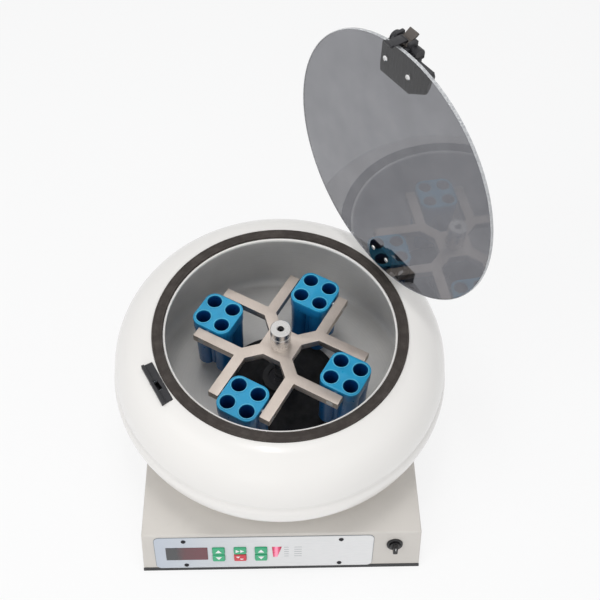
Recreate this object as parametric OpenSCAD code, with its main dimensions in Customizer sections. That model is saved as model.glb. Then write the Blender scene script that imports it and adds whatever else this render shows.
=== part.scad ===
// Bench centrifuge for butterfat tubes: sloped-front cabinet, two-part round housing,
// steel bowl, four-cell rotor with swinging buckets, clear lid with a spring latch.
// Millimetres, +Z up. Origin: rotor axis where it meets the bench.
// Rest pose: lid open, buckets hanging, rotor turned to its parked angle.

/* [Cabinet] */
// height of the cabinet's top above the bench
CAB_H = 95; // [80:1:120]
// half width at the top edge
CAB_W_TOP = 238; // [220:1:260]
// half width at the bench
CAB_W_BOT = 242; // [220:1:265]
// front edge at the bench, in front of the axis
FACE_Y = 298.3; // [280:0.1:320]
// front edge at the top
TOP_Y = 273.5; // [255:0.1:300]
// back wall behind the axis
BACK_Y = 238; // [220:1:260]
// sheet thickness
SHEET = 2; // [1:0.5:3]
// height of the black bottom tray
TRAY_H = 6; // [4:1:10]

/* [Round housing] */
// radius at the gasket's outer edge
RING_R = 215; // [205:1:225]
// width of the gasket's face
GASKET_W = 17.5; // [12:0.5:25]
// height of the gasket's top face
RING_Z = 317; // [300:1:330]
// height of the gasket
RING_H = 8; // [5:1:12]
// dome's widest radius beyond the bowl's wall
DOME_OUT = 31; // [28:1:40]
// height of the seam between the two mouldings
SEAM_Z = 229; // [224:1:235]
// widest radius of the lower moulding's band beyond the bowl's wall
BAND_OUT = 35.5; // [33:0.5:45]
// outer radius of the moulding's foot on the cabinet
FOOT_R = 236; // [228:1:237]
// moulding thickness
WALL = 4; // [3:0.5:6]

/* [Bowl] */
// bowl's wall beyond the gasket's outer edge
BOWL_OUT = 41; // [36:1:45]
// inner floor height
FLOOR_Z = 114; // [110:1:120]
// bowl sheet thickness
BOWL_T = 1.5; // [1:0.5:3]
// top of the bowl's rim
RIM_Z = 280; // [270:1:290]
// radius of the bowl's bottom corner
BOWL_BEND = 22; // [15:1:30]

/* [Rotor] */
// parked angle of the first cell
ROTOR_AZ = 149.8; // [0:0.1:360]
// top face of the rotor plate
PLATE_Z = 264.5; // [255:0.5:270]
// rotor plate thickness
PLATE_T = 15; // [10:0.5:18]
// half width of a cell
CELL_W = 39.5; // [38:0.5:42]
// outer side of a prong
PRONG_W = 58.5; // [54:0.5:62]
// length of a prong from the axis
PRONG_L = 141; // [135:1:146]
// pivot radius of the buckets
PIVOT_R = 126; // [120:0.5:130]
// hub radius
HUB_R = 17.5; // [15:0.5:22]
// hub top
HUB_Z = 312.5; // [300:0.5:314]

/* [Buckets] */
// pitch between tube holes
TUBE_P = 37; // [34:0.5:38]
// tube hole radius
TUBE_R = 12.8; // [11:0.1:13.5]
// bucket top above the rotor plate
RISE = 5.5; // [3:0.5:10]
// underside of the bucket
BUCKET_Z = 141; // [138:1:160]

/* [Lid and latch] */
// azimuth of the hinge
PHI = 34.3; // [25:0.1:45]
// lid's reach past the gasket's outer edge
LID_LAP = 7; // [2:1:9]
// lid thickness
LID_T = 5; // [4:0.5:8]
// hinge axis beyond the gasket's outer edge
HINGE_OUT = 11; // [9:0.5:15]
// height of the hinge axis
HINGE_Z = 344; // [338:1:350]
// opening angle drawn
LID_OPEN = 90; // [0:1:92]
// hinge hardware along the hinge axis
HINGE_T = -8; // [-20:1:20]
// latch centre along the hinge axis
LATCH_T = 19.5; // [0:0.5:25]
// azimuth of the catch
CATCH_AZ = 208.5; // [200:0.1:215]

/* [Fits] */
// radial running clearance of shafts and pins
RUN = 0.05; // [0.01:0.01:0.1]
// side gap of a key in its opening
KEY_GAP = 0.35; // [0.3:0.05:0.6]

/* [Hidden] */
$fn = 96;
LEAN = atan2(FACE_Y - TOP_Y, CAB_H);
// round housing, from the ring outwards
RING_RI = RING_R - GASKET_W;
LIP_R = RING_RI - 4;
BOWL_R = RING_R + BOWL_OUT;
BAND_R = BOWL_R + BAND_OUT;
DOME_A = BOWL_OUT + DOME_OUT;
DOME_Z = SEAM_Z - 4;
DOME_B = RING_Z - 2 - DOME_Z;
BAND_Z = SEAM_Z - 25;
UNDER_Z = RING_Z - 12.4;
LID_R = RING_R + LID_LAP;
HINGE_R = RING_R + HINGE_OUT;
PIVOT_Z = PLATE_Z - PLATE_T / 2;
HUB_Z0 = PLATE_Z - PLATE_T - 13.5;
SOCKET_Z = HUB_Z - 16.5;
// upper bearing
BEAR_R = 22;
BEAR_Z = 146;
BEAR_H = 12;
BUCKET_TOP = PLATE_Z + RISE;
LID_Z0 = RING_Z;
LID_Z1 = RING_Z + LID_T;
// panel layout on the sloped face: u across, v up the slope, n outward
PAN_T = 1.5;
PAN_U0 = -218;
PAN_U1 = 157;
PAN_V0 = 9;
PAN_V1 = 92;
PSCREW = [[-168, 83], [101, 83], [-166, 17], [100, 17]];
WIN = [-199.5, -128, 32, 66];
KEY_U = [-109.2, -72.3, -36.2];
KEY_V = [57, 37.6];
KEY_W = 20.8;
KEY_H = 17.2;
KNOB_U = 194;
KNOB_V = 66;
PCB_N = -13.4;
SPIN_R = 12;
HUB_BORE = 10;
MOTOR_R = 70;
PIN_R = 5;
// bolt circles and the rubber mounts' places
BOLT_R = 96;
FOOT_BOLT_R = FOOT_R - 18;
MOUNT_X = 95;
MOUNT_Y = 75;
STUD_R = 2.5;
FOOT_T = 3;
// hinge bolts, between the ears
HBOLT_X = RING_R + 35;
HBOLT_Y = 14;
// the latch's hook: outer face, width, and the catch's pocket for it
HOOK_X = RING_R + 14.2;
HOOK_W = 15;
POCKET_W = 21;

// frames
module on_face() {
  translate([0, -FACE_Y, 0])
    rotate([90 - LEAN, 0, 0])
      children();
}

module at_phi() {
  rotate([0, 0, PHI])
    children();
}

// children are drawn with the lid closed: x towards the hinge, y along the hinge axis
module on_lid() {
  at_phi()
    translate([HINGE_R, 0, HINGE_Z])
      rotate([0, LID_OPEN, 0])
        translate([-HINGE_R, 0, -HINGE_Z])
          children();
}

// children are drawn square to the latch's hook with the lid shut, x outwards
module at_hook() {
  rotate([0, 0, PHI + 180])
    translate([HOOK_X, -LATCH_T, RING_Z])
      children();
}

// children are drawn for the cell along +x
module at_cell(k) {
  rotate([0, 0, ROTOR_AZ + 90 * k])
    children();
}

module block(x0, x1, y0, y1, z0, z1) {
  translate([x0, y0, z0])
    cube([x1 - x0, y1 - y0, z1 - z0]);
}

module rod(r, z0, z1) {
  translate([0, 0, z0])
    cylinder(r = r, h = z1 - z0);
}

module tube(ro, ri, z0, z1) {
  difference() {
    rod(ro, z0, z1);
    rod(ri, z0 - 1, z1 + 1);
  }
}

// rod along y
module rod_y(x, z, r, y0, y1) {
  translate([x, y0, z])
    rotate([-90, 0, 0])
      cylinder(r = r, h = y1 - y0);
}

module round_rect(x0, x1, y0, y1, r) {
  translate([x0 + r, y0])
    square([x1 - x0 - 2 * r, y1 - y0]);
  translate([x0, y0 + r])
    square([x1 - x0, y1 - y0 - 2 * r]);
  for (x = [x0 + r, x1 - r])
    for (y = [y0 + r, y1 - r])
      translate([x, y])
        circle(r = r);
}

// cabinet solid with its walls moved in by d
function front_y(z) = -FACE_Y + z * tan(LEAN);
function side_x(z) = CAB_W_BOT + z * (CAB_W_TOP - CAB_W_BOT) / CAB_H;

module cabinet_solid(d, z0, z1) {
  intersection() {
    translate([-300, 0, 0])
      rotate([90, 0, 90])
        linear_extrude(600)
          polygon([[front_y(z0) + d / cos(LEAN), z0], [BACK_Y - d, z0],
                   [BACK_Y - d, z1], [front_y(z1) + d / cos(LEAN), z1]]);
    translate([0, 400, 0])
      rotate([90, 0, 0])
        linear_extrude(800)
          polygon([[-side_x(z0) + d, z0], [side_x(z0) - d, z0],
                   [side_x(z1) - d, z1], [-side_x(z1) + d, z1]]);
  }
}

module at_mounts() {
  for (x = [-MOUNT_X, MOUNT_X])
    for (y = [-MOUNT_Y, MOUNT_Y])
      translate([x, y, 0])
        children();
}

module at_foot_bolts() {
  for (a = [15 : 30 : 345])
    rotate([0, 0, a])
      translate([FOOT_BOLT_R, 0, 0])
        children();
}

// black tray that closes the cabinet and stands on the bench
module base_tray() {
  color([0.05, 0.05, 0.05])
    difference() {
      cabinet_solid(0, 0, TRAY_H);
      for (i = [-5 : 5])
        block(i * 12 - 2.5, i * 12 + 2.5, 100, 170, -1, TRAY_H + 1);
    }
}

module base_cabinet() {
  color([0.78, 0.77, 0.74])
    difference() {
      cabinet_solid(0, TRAY_H, CAB_H);
      cabinet_solid(SHEET, TRAY_H - 1, CAB_H - SHEET);
      // spindle opening in the top
      rod(60, CAB_H - 10, CAB_H + 1);
      // openings in the sloped face
      on_face() {
        block(-202, -125.5, 29, 69, -5, 1);
        block(-123.5, -19, 24, 70, -5, 1);
        block(-16, -3, 38, 63, -5, 1);
        translate([KNOB_U, KNOB_V, 0])
          rod(11.3, -5, 1);
        for (p = PSCREW)
          translate([p[0], p[1], 0])
            rod(1.7, -5, 1);
      }
      // back wall: inlet, fuse holder and air slots
      block(110, 138, BACK_Y - 5, BACK_Y + 1, 28, 50);
      translate([80, BACK_Y, 40])
        rotate([90, 0, 0])
          cylinder(r = 7.1, h = 12, center = true);
      for (i = [0 : 13])
        block(-190 + i * 14, -184 + i * 14, BACK_Y - 5, BACK_Y + 1, 30, 70);
      // bolt holes for the pedestal and the rubber mounts
      for (a = [30 : 60 : 330])
        rotate([0, 0, a])
          translate([BOLT_R, 0, 0])
            rod(3, CAB_H - 5, CAB_H + 1);
      at_mounts()
        rod(STUD_R + 0.1, CAB_H - 5, CAB_H + 1);
      // bolt holes for the round housing's foot
      at_foot_bolts()
        rod(2.2, CAB_H - 5, CAB_H + 1);
    }
}

module wedge2d(d) {
  polygon([[-17.4 - d, 65 + d], [-0.4 + d * 1.4, 65 + d], [-8 + d * 1.2, 37 - d], [-15.4 - d, 37 - d]]);
}

module control_panel() {
  color([0.72, 0.74, 0.76])
    on_face()
      difference() {
        linear_extrude(PAN_T)
          round_rect(PAN_U0, PAN_U1, PAN_V0, PAN_V1, 9);
        block(WIN[0], WIN[1], WIN[2], WIN[3], -1, 3);
        for (u = KEY_U)
          for (v = KEY_V)
            block(u - KEY_W / 2 - KEY_GAP, u + KEY_W / 2 + KEY_GAP,
                  v - KEY_H / 2 - KEY_GAP, v + KEY_H / 2 + KEY_GAP, -1, 3);
        translate([0, 0, -1])
          linear_extrude(4)
            wedge2d(0);
        for (p = PSCREW)
          translate([p[0], p[1], 0])
            rod(2.1, -1, 3);
      }
}

module panel_screws() {
  color([0.03, 0.03, 0.03])
    on_face()
      for (p = PSCREW)
        translate([p[0], p[1], 0])
          difference() {
            union() {
              rod(4.2, PAN_T, PAN_T + 2.2);
              rod(1.6, -7, PAN_T + 0.5);
            }
            block(-2.8, 2.8, -0.5, 0.5, PAN_T + 1.3, PAN_T + 3);
            block(-0.5, 0.5, -2.8, 2.8, PAN_T + 1.3, PAN_T + 3);
          }
}

module display_window() {
  color([0.1, 0.04, 0.05, 0.8])
    on_face()
      block(WIN[0], WIN[1], WIN[2], WIN[3], 0, PAN_T + 0.6);
}

module display_module() {
  color([0.05, 0.05, 0.06])
    on_face()
      difference() {
        block(-198, -129.5, 33, 65, PCB_N, -0.6);
        // four digit wells
        for (i = [0 : 3])
          block(-194 + i * 15.6, -181.5 + i * 15.6, 38, 60, -1.6, 0);
      }
}

module led_lens() {
  color([0.8, 0.1, 0.2, 0.9])
    on_face() {
      linear_extrude(PAN_T + 0.5)
        wedge2d(-0.05);
      block(-14.5, -9.5, 42, 62, PCB_N, 0);
    }
}

module control_board() {
  color([0.05, 0.3, 0.15])
    on_face() {
      difference() {
        block(-208, 12, 14, 82, PCB_N - 1.6, PCB_N);
        for (u = [-204, 8])
          for (v = [18, 78])
            translate([u, v, 0])
              rod(1.6, PCB_N - 3, PCB_N + 1);
      }
      // stand-offs to the cabinet's inner face
      for (u = [-204, 8])
        for (v = [18, 78])
          translate([u, v, 0])
            rod(3, PCB_N, -SHEET);
      // parts on the back of the board
      block(-120, -95, 40, 65, PCB_N - 5, PCB_N - 1.6);
      block(-60, -20, 20, 40, PCB_N - 12, PCB_N - 1.6);
      for (u = [-160, -145])
        translate([u, 50, 0])
          rod(5, PCB_N - 14, PCB_N - 1.6);
    }
}

module key_switches() {
  color([0.1, 0.1, 0.1])
    on_face()
      for (u = KEY_U)
        for (v = KEY_V) {
          block(u - 3, u + 3, v - 3, v + 3, PCB_N, PCB_N + 2.6);
          translate([u, v, 0])
            rod(1.7, PCB_N + 2.6, PCB_N + 3.6);
        }
}

// a key cap with its hidden flange and stem
module key_at(u, v) {
  on_face()
    translate([u, v, 0]) {
      translate([0, 0, -1])
        linear_extrude(PAN_T + 3.4)
          round_rect(-KEY_W / 2, KEY_W / 2, -KEY_H / 2, KEY_H / 2, 2);
      block(-KEY_W / 2 - 1, KEY_W / 2 + 1, -KEY_H / 2 - 0.8, KEY_H / 2 + 0.8, -2.2, -0.3);
      rod(2, PCB_N + 5.1, -2.2);
    }
}

module key_speed_up() {
  color([0.1, 0.55, 0.3])
    key_at(KEY_U[0], KEY_V[0]);
}

module key_speed_down() {
  color([0.1, 0.55, 0.3])
    key_at(KEY_U[0], KEY_V[1]);
}

module key_start() {
  color([0.1, 0.55, 0.3])
    key_at(KEY_U[1], KEY_V[0]);
}

module key_stop() {
  color([0.8, 0.12, 0.15])
    key_at(KEY_U[1], KEY_V[1]);
}

module key_time_up() {
  color([0.1, 0.55, 0.3])
    key_at(KEY_U[2], KEY_V[0]);
}

module key_time_down() {
  color([0.1, 0.55, 0.3])
    key_at(KEY_U[2], KEY_V[1]);
}

module switch_body() {
  color([0.04, 0.04, 0.04])
    on_face()
      translate([KNOB_U, KNOB_V, 0])
        difference() {
          union() {
            rod(14, 0, 3.5);
            rod(11, -22, 0);
            rod(15, -6, -SHEET);
          }
          rod(3 + RUN, -16, 10);
        }
}

module switch_knob() {
  color([0.06, 0.06, 0.06])
    on_face()
      translate([KNOB_U, KNOB_V, 0]) {
        rod(3, -15, 3.9);
        rod(9.5, 3.9, 7);
        // finger grip across the knob
        difference() {
          rod(9, 7, 19);
          block(3.6, 12, -12, 12, 6.9, 20);
          block(-12, -3.6, -12, 12, 6.9, 20);
        }
      }
}

module drive_unit() {
  color([0.6, 0.62, 0.64]) {
    block(105, 205, 30, 170, TRAY_H, 58);
    for (i = [0 : 11])
      block(108 + i * 8, 111 + i * 8, 34, 166, 58, 76);
  }
}

module mains_inlet() {
  color([0.05, 0.05, 0.05])
    difference() {
      union() {
        block(103, 145, BACK_Y, BACK_Y + 3, 26, 52);
        block(110.2, 137.8, BACK_Y - 26, BACK_Y, 28.2, 49.8);
      }
      block(113, 135, BACK_Y - 18, BACK_Y + 4, 31, 47);
    }
}

// contact pins of the inlet, with their solder tags behind
module inlet_pins() {
  color([0.75, 0.72, 0.6])
    for (p = [[117, 37], [124, 41], [131, 37]]) {
      block(p[0] - 1, p[0] + 1, BACK_Y - 18, BACK_Y - 2, p[1] - 2, p[1] + 2);
      block(p[0] - 0.5, p[0] + 0.5, BACK_Y - 35, BACK_Y - 26, p[1] - 2.5, p[1] + 2.5);
    }
}

module fuse_holder() {
  color([0.05, 0.05, 0.05])
    translate([80, BACK_Y, 40])
      rotate([-90, 0, 0]) {
        rod(7, -26, 0);
        rod(9, 0, 3);
        rod(6.5, 3, 9);
      }
}

// motor and spindle group, hung from the cabinet's top on rubber
module motor_plate() {
  color([0.5, 0.5, 0.52])
    difference() {
      block(-115, 115, -95, 95, 77, 83);
      rod(40, 70, 90);
      at_mounts()
        rod(STUD_R + 0.1, 70, 90);
    }
}

module rubber_mounts() {
  color([0.07, 0.07, 0.07])
    at_mounts()
      tube(12, STUD_R + 0.1, 83, CAB_H - SHEET);
}

// studs welded into the cabinet's top, each with a nut under the motor plate
module mount_studs() {
  color([0.6, 0.6, 0.62])
    at_mounts() {
      rod(STUD_R, 70, CAB_H);
      translate([0, 0, 72])
        cylinder(r = 5, h = 5, $fn = 6);
    }
}

module motor_housing() {
  color([0.35, 0.37, 0.4])
    difference() {
      union() {
        rod(MOTOR_R, 10, 77);
        for (a = [0 : 15 : 345])
          rotate([0, 0, a])
            block(MOTOR_R - 2, MOTOR_R + 6, -1.5, 1.5, 18, 72);
      }
      rod(MOTOR_R - 5, 18, 78);
      rod(20, 14, 19);
      rod(14, 9, 19);
    }
}

module motor_stator() {
  color([0.55, 0.3, 0.15])
    tube(MOTOR_R - 5, 41, 28, 68);
}

// ball bearings at the motor's foot and at the top of the spindle housing
module bearings() {
  color([0.75, 0.75, 0.77]) {
    tube(20, SPIN_R + RUN, 14, 24);
    tube(BEAR_R, SPIN_R + RUN, BEAR_Z, BEAR_Z + BEAR_H);
  }
}

module spindle_housing() {
  color([0.6, 0.61, 0.62])
    difference() {
      union() {
        rod(50, 83, 90);
        rod(BEAR_R + 10, 83, BEAR_Z + BEAR_H + 2);
      }
      rod(SPIN_R + 4, 80, 165);
      rod(BEAR_R, BEAR_Z, BEAR_Z + BEAR_H + 7);
    }
}

module bowl_pedestal() {
  color([0.45, 0.46, 0.48])
    difference() {
      union() {
        rod(130, CAB_H, CAB_H + 4);
        tube(130, 118, CAB_H, FLOOR_Z - BOWL_T);
        tube(70, 60, CAB_H, FLOOR_Z - BOWL_T);
        for (a = [30 : 60 : 330])
          rotate([0, 0, a]) {
            block(65, 120, -2, 2, CAB_H, FLOOR_Z - BOWL_T);
            translate([BOLT_R, 0, 0])
              rod(8, CAB_H, FLOOR_Z - BOWL_T);
          }
      }
      rod(60, CAB_H - 1, FLOOR_Z);
      for (a = [30 : 60 : 330])
        rotate([0, 0, a])
          translate([BOLT_R, 0, 0])
            rod(3, CAB_H - 1, FLOOR_Z);
    }
}

function arc(cx, cz, a, b, t0, t1, n) =
  [for (i = [0 : n]) let (t = t0 + (t1 - t0) * i / n) [cx + a * cos(t), cz + b * sin(t)]];

module bowl() {
  color([0.6, 0.6, 0.6])
    difference() {
      rotate_extrude()
        polygon(concat(
          [[0, FLOOR_Z - BOWL_T]],
          arc(BOWL_R - BOWL_BEND, FLOOR_Z + BOWL_BEND, BOWL_BEND + BOWL_T, BOWL_BEND + BOWL_T, -90, 0, 10),
          arc(BOWL_R - BOWL_BEND, FLOOR_Z + BOWL_BEND, BOWL_BEND, BOWL_BEND, 0, -90, 10),
          [[0, FLOOR_Z]]));
      rod(45, FLOOR_Z - 5, FLOOR_Z + 5);
      for (a = [30 : 60 : 330])
        rotate([0, 0, a])
          translate([BOLT_R, 0, 0])
            rod(3, FLOOR_Z - 5, FLOOR_Z + 5);
    }
}

// rolled wall, welded to the dish along its bottom edge
module bowl_wall() {
  color([0.6, 0.6, 0.6])
    rotate_extrude()
      polygon([[BOWL_R, FLOOR_Z + BOWL_BEND], [BOWL_R + BOWL_T, FLOOR_Z + BOWL_BEND],
               [BOWL_R + BOWL_T, RIM_Z - 2], [BOWL_R + 4, RIM_Z - 2], [BOWL_R + 4, RIM_Z],
               [BOWL_R, RIM_Z]]);
}

module bowl_bolts() {
  color([0.7, 0.7, 0.72])
    for (a = [30 : 60 : 330])
      rotate([0, 0, a])
        translate([BOLT_R, 0, 0]) {
          rod(2.95, 86, FLOOR_Z + 2);
          translate([0, 0, FLOOR_Z])
            cylinder(r = 5.5, h = 4, $fn = 6);
          translate([0, 0, CAB_H - SHEET - 5])
            cylinder(r = 5.5, h = 5, $fn = 6);
        }
}

// black rubber boot that closes the bowl round the spindle housing
module bowl_boot() {
  color([0.03, 0.03, 0.03])
    rotate_extrude()
      polygon([[32, 148], [36, 148], [40, 143], [60, 130], [100, 124], [113, 121], [113, FLOOR_Z],
               [108, FLOOR_Z], [108, 118.6], [98, 121], [58, 126.5], [38, 139], [32, 142]]);
}

// outer line of the dome, from the ring to the seam
function dome_pts(d) = arc(RING_R, DOME_Z, DOME_A - d, DOME_B - d, 89, 5, 28);

// flat ring laminated to the lower moulding, which bolts to the cabinet's top
module casing_foot() {
  color([0.93, 0.92, 0.9])
    difference() {
      tube(FOOT_R, FOOT_R - 30, CAB_H, CAB_H + FOOT_T);
      at_foot_bolts()
        rod(2.2, CAB_H - 1, CAB_H + FOOT_T + 1);
    }
}

module lower_casing() {
  color([0.93, 0.92, 0.9])
    rotate_extrude()
      polygon(concat(
        [[BOWL_R + 23, SEAM_Z], [BOWL_R + 28.4, SEAM_Z]],
        arc(BAND_R - 20, BAND_Z, 20, 24, 50, 0, 9),
        arc(BAND_R - 20, BAND_Z, 20, 39, -6, -74, 12),
        [[BOWL_R + 13.5, FLOOR_Z + 36], [BOWL_R + 8, FLOOR_Z + 18], [BOWL_R + 3, FLOOR_Z + 6],
         [BOWL_R - 3, FLOOR_Z - 4], [FOOT_R, CAB_H + FOOT_T], [FOOT_R - 6, CAB_H + FOOT_T],
         [BOWL_R - 6.6, FLOOR_Z - 1.5], [BOWL_R - 1, FLOOR_Z + 8], [BOWL_R + 4, FLOOR_Z + 20],
         [BOWL_R + 9.5, FLOOR_Z + 37], [BOWL_R + 15.5, FLOOR_Z + 55.5]],
        arc(BAND_R - 20, BAND_Z, 16, 35, -70, -6, 10),
        arc(BAND_R - 20, BAND_Z, 16, 20, 0, 50, 8),
        [[BOWL_R + 23, SEAM_Z - 8]]));
}

// bolts from inside the cabinet into the round housing's foot
module casing_bolts() {
  color([0.6, 0.6, 0.62])
    at_foot_bolts() {
      rod(2.1, CAB_H - SHEET - 1, CAB_H + FOOT_T + 3);
      translate([0, 0, CAB_H - SHEET - 3])
        cylinder(r = 4, h = 3, $fn = 6);
      translate([0, 0, CAB_H + FOOT_T])
        cylinder(r = 4, h = 3, $fn = 6);
    }
}

module shell_solid(d) {
  rotate_extrude()
    polygon(concat(
      [[0, 180], [0, RING_Z - 2 - d], [RING_R + 0.8, RING_Z - 2 - d]],
      dome_pts(d),
      [[RING_R + DOME_A - 0.3 - d, SEAM_Z], [RING_R + DOME_A - 0.3 - d, 180]]));
}

module upper_shell() {
  color([0.95, 0.94, 0.92])
    difference() {
      rotate_extrude()
        polygon(concat(
          [[RING_R + 0.3, UNDER_Z], [RING_R + 0.3, RING_Z - 2.4], [RING_R + 1, RING_Z - 2]],
          dome_pts(0),
          [[RING_R + DOME_A - 0.4, SEAM_Z + 1.5], [RING_R + DOME_A - 2.2, SEAM_Z + 0.2],
           [RING_R + DOME_A - 10, SEAM_Z + 0.2], [RING_R + DOME_A - 10, SEAM_Z + 6]],
          arc(RING_R, DOME_Z, DOME_A - WALL, DOME_B - WALL, 8, 60, 16),
          [[RING_R + 12, UNDER_Z - 0.6]]));
      // where the catch's pocket passes through
      at_hook()
        block(-9.5, 5, -POCKET_W / 2 - 2.3, POCKET_W / 2 + 2.3, -27, 13);
      at_phi()
        for (y = [HINGE_T - HBOLT_Y, HINGE_T + HBOLT_Y])
          translate([HBOLT_X, y, 0])
            rod(3.1, RING_Z - 32, RING_Z + 13);
    }
}

// ring bonded inside the dome's edge: a channel for the gasket, with a lip inside it
module mouth_ring() {
  color([0.95, 0.94, 0.92])
    rotate_extrude()
      polygon([[LIP_R, RING_Z - 16], [LIP_R, RING_Z - 4.4], [LIP_R + 0.9, RING_Z - 3.6],
               [LIP_R + 2.9, RING_Z - 3.6], [LIP_R + 3.7, RING_Z - 4.4], [LIP_R + 3.7, RING_Z - RING_H],
               [RING_R + 0.3, RING_Z - RING_H], [RING_R + 0.3, UNDER_Z], [LIP_R + 6.5, UNDER_Z],
               [LIP_R + 3.5, RING_Z - 16]]);
}

module gasket() {
  color([0.08, 0.07, 0.06])
    rotate_extrude()
      polygon([[RING_RI, RING_Z - RING_H], [RING_R, RING_Z - RING_H], [RING_R, RING_Z - 1],
               [RING_R - 1, RING_Z], [RING_RI + 1, RING_Z], [RING_RI, RING_Z - 1]]);
}

// catch: a plate on the dome with a pocket for the latch's hook
module catch() {
  color([0.05, 0.05, 0.05])
    difference() {
      union() {
        difference() {
          rotate([0, 0, CATCH_AZ])
            translate([RING_R, 0, RING_Z]) {
              block(1.4, 21, -42, 39, -17, -0.5);
              block(15.2, 21, -42, 39, -17, 3);
            }
          shell_solid(0);
        }
        at_hook()
          block(-9.2, 4.7, -POCKET_W / 2 - 2, POCKET_W / 2 + 2, -20.5, -3);
      }
      at_hook() {
        block(-6.9, 1, -POCKET_W / 2, POCKET_W / 2, -18.5, 13);
        block(-6.9, 3.2, -POCKET_W / 2, POCKET_W / 2, -18.5, -6);
      }
    }
}

// small switch beside the pocket, told by the hook that the lid is shut
module lid_switch() {
  color([0.08, 0.08, 0.1])
    difference() {
      at_hook() {
        block(4.7, 13.7, -10, 10, -21.5, -15.5);
        block(7.7, 10.7, -9, -7, -23.2, -21.5);
        block(7.7, 10.7, 7, 9, -23.2, -21.5);
      }
      shell_under();
    }
}

// space taken by the dome's wall, to trim what sits beneath it
module shell_under() {
  difference() {
    rod(BAND_R + 10, RING_Z - 27, RING_Z + 13);
    rotate_extrude()
      polygon(concat([[0, RING_Z - 37], [0, UNDER_Z], [RING_R, UNDER_Z], [RING_R + 12, UNDER_Z - 0.6]],
                     arc(RING_R, DOME_Z, DOME_A - WALL, DOME_B - WALL, 60, 8, 16),
                     [[RING_R + DOME_A - 10, SEAM_Z + 1]]));
  }
}

module hinge_bracket() {
  color([0.05, 0.05, 0.05])
    at_phi()
      difference() {
        union() {
          // foot on the dome
          block(RING_R + 23, RING_R + 47, HINGE_T - 34, HINGE_T + 34, RING_Z - 32, RING_Z);
          // ears
          for (y = [HINGE_T - 30, HINGE_T + 22])
            difference() {
              union() {
                block(HINGE_R - 1.4, HBOLT_X, y, y + 8, RING_Z - 27, HINGE_Z);
                rod_y(HINGE_R, HINGE_Z, 10, y, y + 8);
                block(HINGE_R, HINGE_R + 14, y, y + 8, HINGE_Z - 14, HINGE_Z + 6);
              }
              translate([HINGE_R + 30, y - 1, HINGE_Z + 8])
                rotate([-90, 0, 0])
                  cylinder(r = 20, h = 10);
            }
        }
        shell_solid(0);
        rod_y(HINGE_R, HINGE_Z, 4, HINGE_T - 40, HINGE_T + 40);
        for (y = [HINGE_T - HBOLT_Y, HINGE_T + HBOLT_Y])
          translate([HBOLT_X, y, 0])
            rod(3.1, RING_Z - 37, RING_Z + 13);
      }
}

module hinge_bolts() {
  color([0.6, 0.6, 0.62])
    at_phi()
      for (y = [HINGE_T - HBOLT_Y, HINGE_T + HBOLT_Y])
        translate([HBOLT_X, y, RING_Z]) {
          rod(3, -22.5, 1);
          rod(5, 0, 4.5);
          difference() {
            rod(4.9, -22.2, -15);
            translate([-HBOLT_X, -y, -RING_Z])
              shell_under();
          }
        }
}

module hinge_pin() {
  color([0.7, 0.7, 0.72])
    at_phi() {
      rod_y(HINGE_R, HINGE_Z, 4, HINGE_T - 31.5, HINGE_T + 31.5);
      rod_y(HINGE_R, HINGE_Z, 5.5, HINGE_T - 33, HINGE_T - 30.2);
      rod_y(HINGE_R, HINGE_Z, 5.5, HINGE_T + 30.2, HINGE_T + 33);
    }
}

// turning group
module spindle() {
  color([0.75, 0.75, 0.77]) {
    rod(SPIN_R, 14.5, HUB_Z0);
    rod(HUB_BORE - 0.02, HUB_Z0, SOCKET_Z);
  }
}

module armature() {
  color([0.4, 0.4, 0.42])
    tube(40, SPIN_R, 30, 66);
}

module rotor_hub() {
  color([0.8, 0.8, 0.82])
    difference() {
      union() {
        rod(HUB_R, HUB_Z0, HUB_Z);
        rod(30, HUB_Z0 + 7, PLATE_Z - PLATE_T);
      }
      rod(HUB_BORE, HUB_Z0 - 1, SOCKET_Z + 1);
      rod(5.6, SOCKET_Z, HUB_Z + 1);
    }
}

module hub_screw() {
  color([0.25, 0.25, 0.27])
    difference() {
      rod(5.5, SOCKET_Z, SOCKET_Z + 9);
      translate([0, 0, SOCKET_Z + 5])
        cylinder(r = 2.9, h = 5, $fn = 6);
    }
}

module cell2d() {
  polygon([[32, -16.5], [54.5, -CELL_W], [PRONG_L + 10, -CELL_W],
           [PRONG_L + 10, CELL_W], [54.5, CELL_W], [32, 16.5]]);
}

module rotor_plate() {
  color([0.78, 0.76, 0.74])
    difference() {
      translate([0, 0, PLATE_Z - PLATE_T])
        rotate([0, 0, ROTOR_AZ])
          linear_extrude(PLATE_T)
            difference() {
              union() {
                square(2 * PRONG_W, center = true);
                for (k = [0 : 3])
                  rotate(90 * k)
                    for (s = [-1, 1])
                      translate([PRONG_W - 1, s * (CELL_W + PRONG_W) / 2 - (PRONG_W - CELL_W) / 2])
                        square([PRONG_L - PRONG_W + 1, PRONG_W - CELL_W]);
              }
              for (k = [0 : 3])
                rotate(90 * k)
                  cell2d();
              circle(r = HUB_R);
            }
      for (k = [0 : 3])
        at_cell(k) {
          rod_y(PIVOT_R, PIVOT_Z, PIN_R, -PRONG_W - 1, PRONG_W + 1);
          for (s = [-1, 1])
            rod_y(PIVOT_R, PIVOT_Z, 6.6, s * (PRONG_W - 1) - 1.5, s * (PRONG_W - 1) + 1.5);
        }
    }
}

module trunnion_pins() {
  color([0.7, 0.7, 0.72])
    for (k = [0 : 3])
      at_cell(k)
        for (s = [-1, 1]) {
          rod_y(PIVOT_R, PIVOT_Z, PIN_R, min(s * 33, s * (PRONG_W - 1)), max(s * 33, s * (PRONG_W - 1)));
          rod_y(PIVOT_R, PIVOT_Z, 6.4, min(s * (PRONG_W - 2.4), s * (PRONG_W - 0.2)),
                max(s * (PRONG_W - 2.4), s * (PRONG_W - 0.2)));
        }
}

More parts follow.
